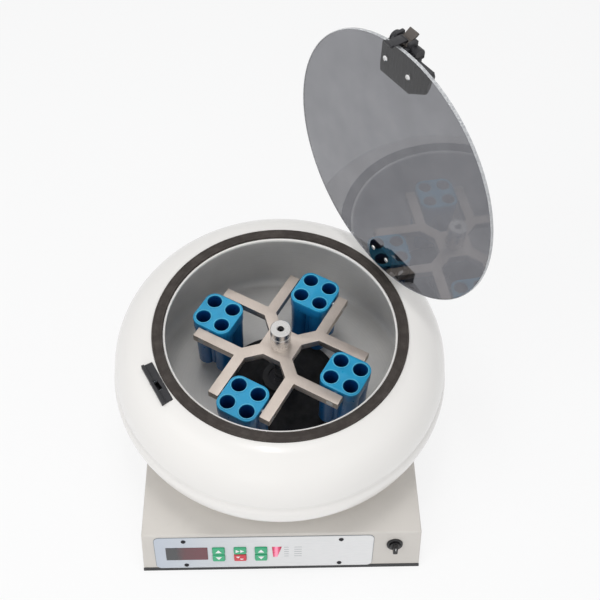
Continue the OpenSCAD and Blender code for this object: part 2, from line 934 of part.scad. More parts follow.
module four() {
  for (x = [-1, 1])
    for (y = [-1, 1])
      translate([x * TUBE_P / 2, y * TUBE_P / 2])
        children();
}

module bucket_at(k) {
  at_cell(k)
    translate([PIVOT_R, 0, 0])
      difference() {
        union() {
          // head
          translate([0, 0, BUCKET_TOP - 26])
            linear_extrude(25)
              round_rect(-TUBE_P / 2 - 18.2, TUBE_P / 2 + 18.2, -TUBE_P / 2 - 18.2, TUBE_P / 2 + 18.2, 18);
          four()
            tube(18, TUBE_R, BUCKET_TOP - 2, BUCKET_TOP);
          // four tube bodies joined by a core
          four()
            translate([0, 0, BUCKET_Z])
              cylinder(r1 = 15.6, r2 = 17, h = BUCKET_TOP - 25 - BUCKET_Z);
          block(-TUBE_P / 2 - 8, TUBE_P / 2 + 8, -TUBE_P / 2 - 8, TUBE_P / 2 + 8, BUCKET_Z + 4, BUCKET_TOP - 25);
        }
        four()
          rod(TUBE_R, BUCKET_Z + 8, BUCKET_TOP + 1);
        for (s = [-1, 1])
          rod_y(0, PIVOT_Z, PIN_R + RUN, s * 40 - 7.6, s * 40 + 7.6);
      }
}

module bucket_a() {
  color([0.1, 0.6, 0.82])
    bucket_at(0);
}

module bucket_b() {
  color([0.1, 0.6, 0.82])
    bucket_at(1);
}

module bucket_c() {
  color([0.1, 0.6, 0.82])
    bucket_at(2);
}

module bucket_d() {
  color([0.1, 0.6, 0.82])
    bucket_at(3);
}

// lid group, drawn closed and swung open by on_lid()
HSCREW = [[LID_R - 31.5, HINGE_T + 17], [LID_R - 31.5, HINGE_T - 17]];
LSCREW = [[32.5 - LID_R, 36], [32.5 - LID_R, -12.5]];

module lid_disc() {
  color([0.62, 0.63, 0.66, 0.5])
    on_lid()
      difference() {
        rod(LID_R, LID_Z0, LID_Z1);
        for (p = concat(HSCREW, LSCREW))
          translate([p[0], p[1], 0])
            rod(2.6, LID_Z0 - 1, LID_Z1 + 1);
      }
}

module hinge_leaf() {
  color([0.05, 0.05, 0.05])
    on_lid()
      difference() {
        union() {
          translate([0, 0, LID_Z1])
            linear_extrude(4)
              round_rect(LID_R - 44, LID_R - 1, HINGE_T - 29, HINGE_T + 29, 10);
          block(LID_R - 16, LID_R - 1, HINGE_T - 21.4, HINGE_T + 21.4, LID_Z1, HINGE_Z - 6);
          block(LID_R - 8, HINGE_R, HINGE_T - 21.4, HINGE_T + 21.4, HINGE_Z - 11, HINGE_Z + 2);
          rod_y(HINGE_R, HINGE_Z, 9.5, HINGE_T - 21.4, HINGE_T + 21.4);
        }
        rod_y(HINGE_R, HINGE_Z, 4 + RUN, HINGE_T - 30, HINGE_T + 30);
        for (p = HSCREW)
          translate([p[0], p[1], 0])
            rod(2.6, LID_Z1 - 1, LID_Z1 + 5);
      }
}

// screws with domed heads on the lid's underside
module lid_screws() {
  color([0.85, 0.85, 0.87])
    on_lid()
      for (p = concat(HSCREW, LSCREW))
        translate([p[0], p[1], 0]) {
          rod(2.5, LID_Z0 - 1, LID_Z1 + 4);
          difference() {
            translate([0, 0, LID_Z0 + 2])
              sphere(r = 4.5);
            rod(8, LID_Z0, LID_Z0 + 8);
            translate([0, 0, LID_Z0 - 4])
              cylinder(r = 1.6, h = 2.8, $fn = 6);
          }
        }
}

LPIN_X = 9.2 - HOOK_X;
LPIN_Z = LID_Z1 + 12;

module latch_body() {
  color([0.04, 0.04, 0.05])
    on_lid()
      difference() {
        union() {
          // plate on the lid's top
          translate([-LID_R, 0, LID_Z1])
            linear_extrude(14)
              polygon([[61, 47], [61, -15], [40, -47], [15, -51], [6, -47], [6, 43], [12, 49], [50, 49]]);
          // raised housing
          translate([-LID_R, 0, LID_Z1])
            block(10, 48, LATCH_T - 27, LATCH_T + 27, 0, 27);
          rod_y(10 - LID_R, LPIN_Z + 5, 10, LATCH_T - 27, LATCH_T - 15);
          rod_y(10 - LID_R, LPIN_Z + 5, 10, LATCH_T + 15, LATCH_T + 27);
          // cheeks that carry the pin
          for (y = [LATCH_T - 17, LATCH_T + 11])
            difference() {
              block(LPIN_X - 10, LPIN_X + 14, y, y + 6, LID_Z1, LPIN_Z + 9);
              block(LPIN_X - 20, LPIN_X - 2.3, y - 1, y + 7, LID_Z1 - 1, LPIN_Z - 6.5);
            }
          // guard over the hook
          block(LPIN_X - 18, LPIN_X - 10, LATCH_T - 17, LATCH_T + 17, LPIN_Z - 6.5, LPIN_Z + 4);
        }
        // slot for the lever
        block(LPIN_X - 9.5, LPIN_X + 15, LATCH_T - 11, LATCH_T + 11, LID_Z1 - 1, LPIN_Z + 26);
        rod_y(LPIN_X, LPIN_Z, 3, LATCH_T - 40, LATCH_T + 40);
        // slope on the inner top edge
        translate([48 - LID_R, LATCH_T - 30, LID_Z1 + 27])
          rotate([0, 45, 0])
            cube([12, 60, 12], center = false);
        for (p = LSCREW)
          translate([p[0], p[1], 0])
            rod(2.6, LID_Z1 - 1, LID_Z1 + 5);
      }
}

module latch_pin() {
  color([0.7, 0.7, 0.72])
    on_lid()
      rod_y(LPIN_X, LPIN_Z, 3, LATCH_T - 17.5, LATCH_T + 17.5);
}

// lever: finger tab above, hook below
module latch_lever() {
  color([0.2, 0.17, 0.16])
    on_lid()
      difference() {
        union() {
          rod_y(LPIN_X, LPIN_Z, 6, LATCH_T - 10.5, LATCH_T + 10.5);
          // finger tab
          translate([LPIN_X, LATCH_T - 9, LPIN_Z])
            rotate([0, -128, 0])
              block(-2, 20, 0, 18, -2.2, 2.2);
          // arm and hook
          translate([-HOOK_X, LATCH_T, RING_Z]) {
            block(0, 9.2, -HOOK_W / 2, HOOK_W / 2, LPIN_Z - RING_Z - 5.5, LPIN_Z - RING_Z - 1);
            block(0, 2, -HOOK_W / 2, HOOK_W / 2, -14, LPIN_Z - RING_Z - 1);
            block(-2.3, 0.2, -HOOK_W / 2, HOOK_W / 2, -14, -9);
          }
        }
        rod_y(LPIN_X, LPIN_Z, 3 + RUN, LATCH_T - 20, LATCH_T + 20);
      }
}

base_tray();
base_cabinet();
control_panel();
panel_screws();
display_window();
display_module();
led_lens();
control_board();
key_switches();
key_speed_up();
key_speed_down();
key_start();
key_stop();
key_time_up();
key_time_down();
switch_body();
switch_knob();
drive_unit();
mains_inlet();
inlet_pins();
fuse_holder();
motor_plate();
rubber_mounts();
mount_studs();
motor_housing();
motor_stator();
bearings();
spindle_housing();
bowl_pedestal();
bowl();
bowl_wall();
bowl_bolts();
bowl_boot();
casing_foot();
lower_casing();
casing_bolts();
upper_shell();
mouth_ring();
gasket();
catch();
lid_switch();
hinge_bracket();
hinge_bolts();
hinge_pin();
spindle();
armature();
rotor_hub();
hub_screw();
rotor_plate();
trunnion_pins();
bucket_a();
bucket_b();
bucket_c();
bucket_d();
lid_disc();
hinge_leaf();
lid_screws();
latch_body();
latch_pin();
latch_lever();
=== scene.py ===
# %% [markdown]
# A bench centrifuge for butterfat tubes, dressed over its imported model.
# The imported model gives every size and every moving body. This script adds the rounded
# mouldings, the small hardware and the finishes, and it moves nothing that was packed.

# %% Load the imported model
import math

import bmesh
import bpy
from mathutils import Matrix, Vector


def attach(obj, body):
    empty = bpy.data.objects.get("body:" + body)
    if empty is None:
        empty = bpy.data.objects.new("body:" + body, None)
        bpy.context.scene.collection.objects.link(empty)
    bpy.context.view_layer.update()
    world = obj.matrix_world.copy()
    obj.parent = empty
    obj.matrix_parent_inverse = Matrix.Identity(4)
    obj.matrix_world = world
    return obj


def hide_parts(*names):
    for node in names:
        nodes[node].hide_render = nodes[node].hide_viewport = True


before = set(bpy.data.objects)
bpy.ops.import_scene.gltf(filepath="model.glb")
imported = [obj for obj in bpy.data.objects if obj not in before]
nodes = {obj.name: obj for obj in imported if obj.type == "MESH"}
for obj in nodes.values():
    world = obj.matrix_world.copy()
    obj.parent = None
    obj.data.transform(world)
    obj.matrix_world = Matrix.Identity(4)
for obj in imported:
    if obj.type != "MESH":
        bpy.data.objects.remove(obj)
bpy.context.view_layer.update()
MM = 0.001

# %% [markdown]
# Each group of pieces has its own working frame: the sloped front, the lid as if it were shut,
# and the four cells of the rotor. A piece is drawn in the easy frame and its mesh is then
# moved by one matrix, so the finished object itself stays at the origin, unturned.

# %% Sizes and working frames, in millimetres
CAB_H, CAB_W_TOP, CAB_W_BOT = 95.0, 238.0, 242.0
FACE_Y, TOP_Y, BACK_Y, TRAY_H = 298.3, 273.5, 238.0, 6.0
RING_R, RING_RI, RING_Z, RING_H = 215.0, 197.5, 317.0, 8.0
DOME_A, DOME_B, DOME_Z, SEAM_Z = 72.0, 90.0, 225.0, 229.0
BAND_R, WALL = 291.5, 4.0
BOWL_R, FLOOR_Z, BOWL_T = 256.0, 114.0, 1.5
ROTOR_AZ, PLATE_Z, PLATE_T, PIVOT_Z = 149.8, 264.5, 15.0, 257.0
CELL_W, PRONG_W, PRONG_L, PIVOT_R = 39.5, 58.5, 141.0, 126.0
HUB_R, HUB_Z = 17.5, 312.5
TUBE_P, TUBE_R, BUCKET_Z = 37.0, 12.8, 141.0
PHI, LID_R, LID_T, HINGE_R, HINGE_Z = 34.3, 222.0, 5.0, 226.0, 344.0
HINGE_T, LATCH_T, CATCH_AZ, HOOK_R = -8.0, 19.5, 208.5, 229.2
CRISP, MERGE_MM = 35.0, 0.005
LEAN = math.degrees(math.atan2(FACE_Y - TOP_Y, CAB_H))


def turn(degrees, axis):
    return Matrix.Rotation(math.radians(degrees), 4, axis)


def shift(x, y, z):
    return Matrix.Translation((x, y, z))


HERE = Matrix.Identity(4)
FACE = shift(0, -FACE_Y, 0) @ turn(90 - LEAN, "X")
AT_PHI = turn(PHI, "Z")
LID = AT_PHI @ shift(HINGE_R, 0, HINGE_Z) @ turn(90, "Y") @ shift(-HINGE_R, 0, -HINGE_Z)
CATCH = turn(CATCH_AZ, "Z") @ shift(RING_R, 0, RING_Z)
HOOK = turn(PHI + 180, "Z") @ shift(HOOK_R, -LATCH_T, RING_Z)
HOOK_METRES = turn(PHI + 180, "Z") @ shift(HOOK_R * MM, -LATCH_T * MM, RING_Z * MM)


def cell(k):
    return turn(ROTOR_AZ + 90 * k, "Z")


print("front leans", round(LEAN, 2), "degrees")

# %% [markdown]
# Finishes, shape trees and the studio are all made of nodes. Three short helpers add and link
# them, so each network reads as a line of thought instead of a list of sockets.

# %% Helpers that add nodes


def feed(socket, value):
    """Links a socket to another node's output, or sets its value."""
    if isinstance(value, bpy.types.NodeSocket):
        socket.id_data.links.new(value, socket)
    elif value is not None:
        colour = socket.type == "RGBA" and len(value) == 3
        socket.default_value = (*value, 1) if colour else value


def add(tree, kind, *values, **named):
    """Adds a node. Names in small letters are its settings, and the others its inputs."""
    node = tree.nodes.new(kind)
    for key, value in named.items():
        if key.islower():
            setattr(node, key, value)
    for socket, value in zip(node.inputs, values):
        feed(socket, value)
    for key, value in named.items():
        if not key.islower():
            feed(node.inputs[key.replace("_", " ")], value)
    return node


def calc(tree, how, a, b=None):
    return add(tree, "ShaderNodeMath", a, b, operation=how).outputs[0]


def scaled(colour, by, lift=0.0):
    return tuple(c * by + lift for c in colour)


print("node helpers ready")

# %% [markdown]
# A finish is a small node network round one Principled shader. Patterns read Object
# coordinates in metres, so a scale of 1000 gives marks about a millimetre wide. Numbers that
# are the same all over sit on the shader's own sockets, which keeps them in an export.

# %% A helper that builds finishes


class Finish:
    def __init__(self, name, **sockets):
        self.mat = bpy.data.materials.new(name)
        self.mat.use_nodes = True
        self.tree = self.mat.node_tree
        self.shader = self.tree.nodes["Principled BSDF"]
        for key, value in sockets.items():
            label = key.replace("_", " ").title().replace("Ior", "IOR")
            self.shader.inputs[label].default_value = value
        self.coord = self.add("ShaderNodeTexCoord").outputs["Object"]

    def add(self, kind, *values, **named):
        return add(self.tree, kind, *values, **named)

    def math(self, how, a, b=None):
        return calc(self.tree, how, a, b)

    def place(self, stretch, angles=(0, 0, 0)):
        """Coordinates for a pattern that is stretched, and turned if need be."""
        return self.add("ShaderNodeMapping", vector_type="TEXTURE", Vector=self.coord,
                        Rotation=angles, Scale=stretch).outputs["Vector"]

    def noise(self, scale, detail=4, rough=0.55, at=None, distortion=0.0):
        return self.add("ShaderNodeTexNoise", Vector=at or self.coord, Scale=scale, Detail=detail,
                        Roughness=rough, Distortion=distortion).outputs["Fac"]

    def cells(self, scale):
        node = self.add("ShaderNodeTexVoronoi", Vector=self.coord, Scale=scale)
        return node.outputs["Distance"]

    def ramp(self, value, stops):
        node = self.add("ShaderNodeValToRGB")
        band = node.color_ramp
        while len(band.elements) < len(stops):
            band.elements.new(0.5)
        for element, (place, colour) in zip(band.elements, stops):
            element.position = place
            if not isinstance(colour, tuple):
                colour = (colour, colour, colour)
            element.color = (*colour, 1)
        feed(node.inputs["Fac"], value)
        return node.outputs["Color"]

    def tones(self, value, low, high):
        return self.ramp(value, [(0.3, low), (0.7, high)])

    def axes(self):
        return self.add("ShaderNodeSeparateXYZ", self.coord).outputs

    def rings(self, pitch):
        """Noise read by radius and height, so that it runs in rings round the axis."""
        x, y, z = self.axes()
        square = self.math("ADD", self.math("MULTIPLY", x, x), self.math("MULTIPLY", y, y))
        radius = self.math("MULTIPLY", self.math("SQRT", square), pitch)
        along = self.math("ADD", radius, self.math("MULTIPLY", z, pitch))
        return self.add("ShaderNodeTexNoise", noise_dimensions="1D", W=along,
                        Scale=1.0).outputs["Fac"]

    def blend(self, amount, a, b):
        node = self.add("ShaderNodeMix", amount, data_type="RGBA")
        feed(node.inputs[6], a)
        feed(node.inputs[7], b)
        return node.outputs[2]

    def span(self, axis, start, length):
        """Runs from 0 to 1 along an axis, from a start in metres."""
        return self.math("DIVIDE", self.math("SUBTRACT", self.axes()[axis], start), length)

    def colour(self, value):
        feed(self.shader.inputs["Base Color"], value)

    def roughness(self, value, low, high):
        feed(self.shader.inputs["Roughness"], self.tones(value, low, high))

    def bump(self, height, depth_mm):
        node = self.add("ShaderNodeBump", Strength=1.0, Distance=depth_mm * MM, Height=height)
        last = self.shader.inputs["Normal"]
        if last.is_linked:
            feed(node.inputs["Normal"], last.links[0].from_socket)
        feed(last, node.outputs["Normal"])

    def skin(self, scale, detail, low, high, *bumps):
        """Gives the roughness its noise, adds the bumps, and hands the finish over."""
        self.roughness(self.noise(scale, detail), low, high)
        for height, depth_mm in bumps:
            self.bump(height, depth_mm)
        return self.mat


# %% [markdown]
# Powder coat is a thin baked paint. It is nearly one colour, but its skin is like a very fine
# orange peel, it has faint patches of grime, and its gloss wanders slightly.

# %% Painted, moulded and rubber finishes


def powder_coat(name, colour, rough=0.42, peel=0.05):
    f = Finish(name)
    grime = f.ramp(f.noise(38, 8, 0.7), [(0.55, 0.0), (0.8, 0.25)])
    base = f.tones(f.noise(6, 3), scaled(colour, 0.93), scaled(colour, 1.03))
    f.colour(f.blend(grime, base, scaled(colour, 0.8)))
    return f.skin(60, 5, rough - 0.06, rough + 0.08, (f.noise(900, 2), peel),
                  (f.noise(25, 2), peel * 3))


def gel_coat(name, colour):
    f = Finish(name, coat_weight=0.5, coat_roughness=0.12)
    f.colour(f.tones(f.noise(3, 3), scaled(colour, 0.975), colour))
    return f.skin(7, 2, 0.28, 0.33, (f.noise(5, 1), 0.2))


def soft_rubber(name, colour, grain=500):
    f = Finish(name, specular_ior_level=0.35)
    dust = f.ramp(f.noise(45, 8, 0.7), [(0.45, 0.0), (0.75, 0.5)])
    f.colour(f.blend(dust, colour, scaled(colour, 2.4, 0.012)))
    return f.skin(80, 5, 0.62, 0.85, (f.noise(grain, 4), 0.12))


def moulded(name, colour, rough=0.45, grain=0.06, coat=0.0):
    f = Finish(name, coat_weight=coat, coat_roughness=0.15)
    worn = f.ramp(f.noise(70, 8, 0.75), [(0.5, 0.0), (0.85, 0.35)])
    f.colour(f.blend(worn, colour, scaled(colour, 1.35, 0.01)))
    return f.skin(120, 5, rough - 0.08, rough + 0.1, (f.cells(1400), grain),
                  (f.noise(40, 3), grain * 2))


PAINT = powder_coat("cabinet powder coat", (0.62, 0.59, 0.55))
TRAY_PAINT = powder_coat("black tray paint", (0.022, 0.022, 0.024), 0.5)
ENAMEL = powder_coat("grey motor enamel", (0.10, 0.115, 0.13), 0.35, 0.12)
WHITE = gel_coat("white gel coat", (0.84, 0.82, 0.79))
GASKET_RUBBER = soft_rubber("gasket rubber", (0.042, 0.035, 0.031), 350)
BOOT_RUBBER = soft_rubber("boot rubber", (0.010, 0.010, 0.011))
BLACK = moulded("black moulding", (0.016, 0.016, 0.019))
SHINY_BLACK = moulded("satin black cap", (0.010, 0.010, 0.011), 0.3, 0.03)
LEVER_BROWN = moulded("brown-grey lever", (0.085, 0.073, 0.065), 0.5)
GREEN = moulded("green key", (0.035, 0.40, 0.19), 0.35, 0.03, 0.2)
RED = moulded("red key", (0.60, 0.03, 0.05), 0.35, 0.03, 0.2)
MARK = moulded("white key mark", (0.85, 0.86, 0.85), 0.4, 0.02)
PLAIN_GREY = moulded("plain grey", (0.22, 0.24, 0.26), 0.45, 0.02)
RIB_GREY = moulded("worn black rib", (0.045, 0.044, 0.050), 0.3, 0.03)
print("painted and moulded finishes made")

# %% [markdown]
# Machined metal shows how it was cut. A milled plate has a fine random satin, a turned hub
# has rings round its axis, and a spun bowl has rings that follow its wall. The rings come
# from noise that is stretched, or read by radius and height.

# %% Metal finishes


def milled(name, colour):
    f = Finish(name, metallic=1.0)
    grain = f.noise(420, 6, 0.7, f.place((1, 6, 1), angles=(0, 0, math.radians(ROTOR_AZ + 45))))
    tint = f.tones(f.noise(22, 6, 0.6), scaled(colour, 0.86), colour)
    f.colour(f.blend(f.ramp(grain, [(0.35, 0.0), (0.7, 0.3)]), tint, scaled(colour, 0.72)))
    return f.skin(60, 5, 0.36, 0.52, (grain, 0.05))


def turned(name, colour, low=0.14, high=0.28, pitch=1400.0):
    f = Finish(name, metallic=1.0)
    ring = f.rings(pitch)
    f.colour(f.ramp(ring, [(0.25, scaled(colour, 0.85)), (0.75, colour)]))
    return f.skin(50, 4, low, high, (ring, 0.02))


def plated(name, colour, rough=0.32, grain=0.03):
    f = Finish(name, metallic=1.0)
    patch = f.noise(160, 6, 0.65)
    f.colour(f.tones(patch, scaled(colour, 0.8), colour))
    return f.skin(90, 5, rough - 0.08, rough + 0.1, (f.noise(700, 4), grain))


RING_PITCH = 380.0


def spun_bowl(name, colour):
    f = Finish(name, metallic=0.1)
    ring = f.rings(RING_PITCH)
    cloud = f.tones(f.noise(14, 6, 0.6), scaled(colour, 0.88), colour)
    f.colour(f.blend(f.ramp(ring, [(0.4, 0.0), (0.7, 0.25)]), cloud, scaled(colour, 0.8)))
    return f.skin(45, 5, 0.34, 0.5, (ring, 0.03))


MILLED = milled("milled aluminium", (0.72, 0.635, 0.57))
TURNED = turned("turned hub steel", (0.74, 0.73, 0.715), 0.2, 0.34)
GROUND = turned("ground shaft steel", (0.66, 0.66, 0.67), 0.18, 0.3, 900.0)
ZINC = plated("zinc plate", (0.58, 0.58, 0.56))
BRIGHT = plated("bright screw steel", (0.80, 0.80, 0.80), 0.2, 0.01)
DARK_STEEL = plated("blackened steel", (0.05, 0.05, 0.055), 0.38)
CAST_ALU = plated("cast aluminium", (0.55, 0.56, 0.57), 0.48, 0.12)
CAST_IRON = plated("cast iron", (0.16, 0.16, 0.17), 0.55, 0.2)
BOWL_GREY = spun_bowl("spun bowl", (0.80, 0.785, 0.76))
PIN_BRASS = plated("inlet pin plate", (0.62, 0.55, 0.38), 0.25)
print("metal finishes made")

# %% [markdown]
# The buckets are one solid colour of plastic, painted by height: the thin rims are paler than
# the flat top as a painted highlight, and the bores and low sides fall to a deep painted shade.

# %% Blue plastic, windings, board and display finishes


PAINTED_SHADE_FROM, PAINTED_SHADE_OVER = 0.2, 0.07


def bucket_plastic_painted_light(name, low, side, top, rim):
    f = Finish(name, coat_weight=0.25, coat_roughness=0.12)
    swirl = f.noise(35, 5, 0.6, distortion=0.4)
    # Colour by height: darker low down as painted shade, lighter on the flat top and palest on the
    # lip tops as a painted highlight.
    height = f.span("Z", PAINTED_SHADE_FROM, PAINTED_SHADE_OVER)
    body = f.ramp(height, [(0.0, low), (0.90, side), (0.975, top), (0.99, top), (1.0, rim)])
    f.colour(f.blend(f.tones(swirl, 0.0, 0.3), body, scaled(side, 0.7)))
    return f.skin(90, 5, 0.26, 0.42, (f.noise(650, 3), 0.04))


def windings(name):
    f = Finish(name, metallic=0.7)
    x, y, z = f.axes()
    wave = f.math("SINE", f.math("MULTIPLY", f.math("ARCTAN2", y, x), 180.0))
    f.colour(f.ramp(wave, [(0.2, (0.20, 0.07, 0.025)), (0.8, (0.50, 0.22, 0.08))]))
    return f.skin(200, 4, 0.3, 0.45, (wave, 0.3))


def laminations(name):
    f = Finish(name, metallic=0.9)
    stack = f.math("SINE", f.math("MULTIPLY", f.axes()["Z"], 9000.0))
    f.colour(f.ramp(stack, [(0.2, (0.10, 0.10, 0.105)), (0.8, (0.24, 0.24, 0.25))]))
    return f.skin(150, 4, 0.4, 0.55, (stack, 0.05))


def circuit_board(name):
    f = Finish(name, coat_weight=0.4, coat_roughness=0.2)
    tracks = f.add("ShaderNodeTexBrick", Vector=f.coord, Scale=90, Mortar_Size=0.06)
    f.colour(f.blend(tracks.outputs["Fac"], (0.012, 0.10, 0.045), (0.04, 0.22, 0.09)))
    return f.skin(200, 4, 0.3, 0.45, (tracks.outputs["Fac"], 0.05))


def tinted_window(name):
    f = Finish(name, coat_weight=0.5, coat_roughness=0.05)
    across = f.span("X", -0.1995, 0.0715)
    haze = f.math("ADD", across, f.math("MULTIPLY", f.noise(120, 4), 0.12))
    f.colour(f.ramp(haze, [(0.30, (0.035, 0.036, 0.040)), (0.52, (0.10, 0.022, 0.030)),
                           (0.95, (0.13, 0.020, 0.032))]))
    return f.skin(70, 5, 0.12, 0.25, (f.noise(500, 2), 0.01))


def light_bar(name):
    f = Finish(name, coat_weight=0.3, coat_roughness=0.1, emission_strength=0.15)
    away = f.math("ABSOLUTE", f.math("ADD", f.axes()["X"], 0.0098))
    glow = f.math("SUBTRACT", 1.0, f.math("DIVIDE", away, 0.0085))
    glow = f.math("ADD", glow, f.math("MULTIPLY", f.noise(300, 3), 0.1))
    shade = f.ramp(glow, [(0.15, (0.42, 0.010, 0.05)), (0.55, (0.68, 0.03, 0.13)),
                          (0.9, (0.95, 0.30, 0.45))])
    f.colour(shade)
    feed(f.shader.inputs["Emission Color"], shade)
    return f.skin(200, 3, 0.2, 0.35, (f.noise(600, 2), 0.02))


def overlay_film(name):
    f = Finish(name, coat_weight=0.3, coat_roughness=0.25)
    # The tone runs from bluish grey on the left to pale grey on the right: a painted reflection on
    # the silver film, with random mottle added. The stretched lines are brushing.
    across = f.span("X", -0.218, 0.375)
    lines = f.noise(700, 3, 0.6, f.place((12, 1, 1)))
    painted_sheen_and_mottle = f.math("ADD", across, f.math("MULTIPLY", f.noise(9, 3), 0.15))
    tone = f.ramp(painted_sheen_and_mottle, [(0.05, (0.50, 0.55, 0.63)), (0.32, (0.60, 0.63, 0.66)),
                          (0.6, (0.76, 0.76, 0.76))])
    f.colour(f.blend(f.ramp(lines, [(0.4, 0.0), (0.8, 0.18)]), tone, (0.42, 0.44, 0.47)))
    return f.skin(60, 4, 0.28, 0.4, (lines, 0.01))


def smoked_acrylic(name):
    f = Finish(name, transmission_weight=1.0, ior=1.49, specular_ior_level=0.8)
    cloud = f.noise(16, 7, 0.62)
    scuffs = f.ramp(f.noise(9, 9, 0.75, f.place((1, 1, 3))), [(0.45, 0.0), (0.75, 0.35)])
    tone = f.tones(cloud, (0.20, 0.202, 0.218), (0.25, 0.252, 0.27))
    f.colour(f.blend(scuffs, tone, (0.20, 0.205, 0.22)))
    f.roughness(f.noise(30, 6, 0.7), 0.01, 0.04)
    f.bump(f.noise(8, 1), 0.006)
    return f.mat


def cut_edge(name):
    f = Finish(name, transmission_weight=0.35, ior=1.49)
    streak = f.noise(240, 5, 0.65, f.place((1, 1, 0.2)))
    # The edge's pale colour is a painted highlight; the stretched streaks in it are polish marks.
    f.colour(f.ramp(streak, [(0.35, (0.42, 0.43, 0.45)), (0.65, (0.86, 0.87, 0.88))]))
    f.roughness(streak, 0.08, 0.25)
    f.bump(streak, 0.02)
    return f.mat


BLUE = bucket_plastic_painted_light("blue bucket plastic", (0.006, 0.12, 0.34), (0.008, 0.20, 0.47),
                      (0.016, 0.36, 0.62), (0.09, 0.50, 0.72))
# The bores get a darker copy of the blue: painted shade down the tubes.
BORE_PAINTED_SHADE_BLUE = bucket_plastic_painted_light("blue bucket bore painted shade", (0.003, 0.035, 0.15), (0.003, 0.06, 0.24),
                           (0.008, 0.16, 0.42), (0.02, 0.25, 0.5))
COPPER = windings("varnished windings")
CORE = laminations("laminated core")
BOARD = circuit_board("circuit board")
WINDOW = tinted_window("red display window")
LAMP_BAR = light_bar("light bar")
OVERLAY = overlay_film("silver panel overlay")
ACRYLIC = smoked_acrylic("smoked acrylic")
EDGE_HIGHLIGHT = cut_edge("acrylic edge with painted highlight")
print("finishes in the file", len(bpy.data.materials))

# %% [markdown]
# Every made piece goes through the same few steps: its mesh is cleaned, its normals point
# outwards, edges sharper than an angle stay crisp, and it gets its finish and its body.

# %% Helpers for meshes


def to_object(name, mesh):
    obj = bpy.data.objects.new(name, mesh)
    bpy.context.scene.collection.objects.link(obj)
    return obj


def from_bmesh(name, bm):
    mesh = bpy.data.meshes.new(name)
    bm.to_mesh(mesh)
    bm.free()
    return to_object(name, mesh)


def shade(obj, crisp=CRISP):
    """Smooths the faces, and leaves each edge sharper than an angle crisp."""
    obj.data.shade_smooth()
    obj.data.set_sharp_from_angle(angle=math.radians(crisp))
    return obj


def tidy(obj, matrix=HERE, crisp=CRISP):
    """Moves the mesh by a matrix in millimetres, and leaves it in metres at the origin."""
    bm = bmesh.new()
    bm.from_mesh(obj.data)
    bmesh.ops.remove_doubles(bm, verts=bm.verts, dist=MERGE_MM)
    bmesh.ops.recalc_face_normals(bm, faces=bm.faces)
    bmesh.ops.transform(bm, matrix=Matrix.Scale(MM, 4) @ matrix, verts=bm.verts)
    bm.to_mesh(obj.data)
    bm.free()
    return shade(obj, crisp)


def plain_mesh(obj):
    """Turns what the modifiers make into the object's own mesh."""
    depsgraph = bpy.context.evaluated_depsgraph_get()
    mesh = bpy.data.meshes.new_from_object(obj.evaluated_get(depsgraph), depsgraph=depsgraph)
    if obj.type != "MESH":
        made = to_object(obj.name + "_mesh", mesh)
        name = obj.name
        bpy.data.objects.remove(obj)
        made.name = name
        return made
    obj.modifiers.clear()
    obj.data = mesh
    return obj


def dress(obj, finish, body, slot, *stands_for):
    obj.data.materials.clear()
    obj.data.materials.append(finish)
    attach(obj, body)
    if stands_for:
        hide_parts(*stands_for)
    print(obj.name, len(obj.data.polygons), "faces on", body)
    return obj


def mesh_from(name, verts, faces=(), edges=()):
    mesh = bpy.data.meshes.new(name)
    mesh.from_pydata([tuple(v) for v in verts], edges, faces)
    return to_object(name, mesh)


def joined(name, parts):
    """One object from several, without any operator."""
    bm = bmesh.new()
    for part in parts:
        bm.from_mesh(part.data)
        bpy.data.objects.remove(part)
    return shade(from_bmesh(name, bm))


def box_frame(x0, x1, y0, y1, z0, z1):
    """The middle and the size that turn a unit cube into this box."""
    middle = shift((x0 + x1) / 2, (y0 + y1) / 2, (z0 + z1) / 2)
    return middle, Matrix.Diagonal((x1 - x0, y1 - y0, z1 - z0, 1))


def cut_away(obj, boxes, rods):
    """Takes boxes and rods, each with its frame, out of an object."""
    bm = bmesh.new()
    for box, at in boxes:
        middle, size = box_frame(*box)
        bmesh.ops.create_cube(bm, size=1.0, matrix=at @ middle @ size)
    for (r, z0, z1), at in rods:
        bmesh.ops.create_cone(bm, cap_ends=True, segments=48, radius1=r, radius2=r,
                              depth=z1 - z0, matrix=at @ shift(0, 0, (z0 + z1) / 2))
    bmesh.ops.recalc_face_normals(bm, faces=bm.faces)
    cutter = from_bmesh("cutter", bm)
    taken = obj.modifiers.new("cut", "BOOLEAN")
    taken.object, taken.operation = cutter, "DIFFERENCE"
    taken.solver, taken.use_self = "EXACT", True
    made = plain_mesh(obj)
    bpy.data.objects.remove(cutter)
    return made


# %% [markdown]
# A flat plate with rounded edges is quickest as a filled curve: the outline and its holes are
# closed splines, the extrusion is the thickness, and the curve's own bevel rounds both the
# outer edge and every hole. It's turned into a mesh before it is placed.

# %% Plates from outlines


def circle(r, x=0.0, y=0.0, n=64):
    return [(x + r * math.cos(2 * math.pi * i / n), y + r * math.sin(2 * math.pi * i / n))
            for i in range(n)]


def box_outline(x0, x1, y0, y1, r=0.0, n=8):
    if r == 0:
        return [(x0, y0), (x1, y0), (x1, y1), (x0, y1)]
    points = []
    for cx, cy, start in ((x1 - r, y0 + r, -90), (x1 - r, y1 - r, 0), (x0 + r, y1 - r, 90),
                          (x0 + r, y0 + r, 180)):
        for i in range(n + 1):
            t = math.radians(start + 90 * i / n)
            points.append((cx + r * math.cos(t), cy + r * math.sin(t)))
    return points


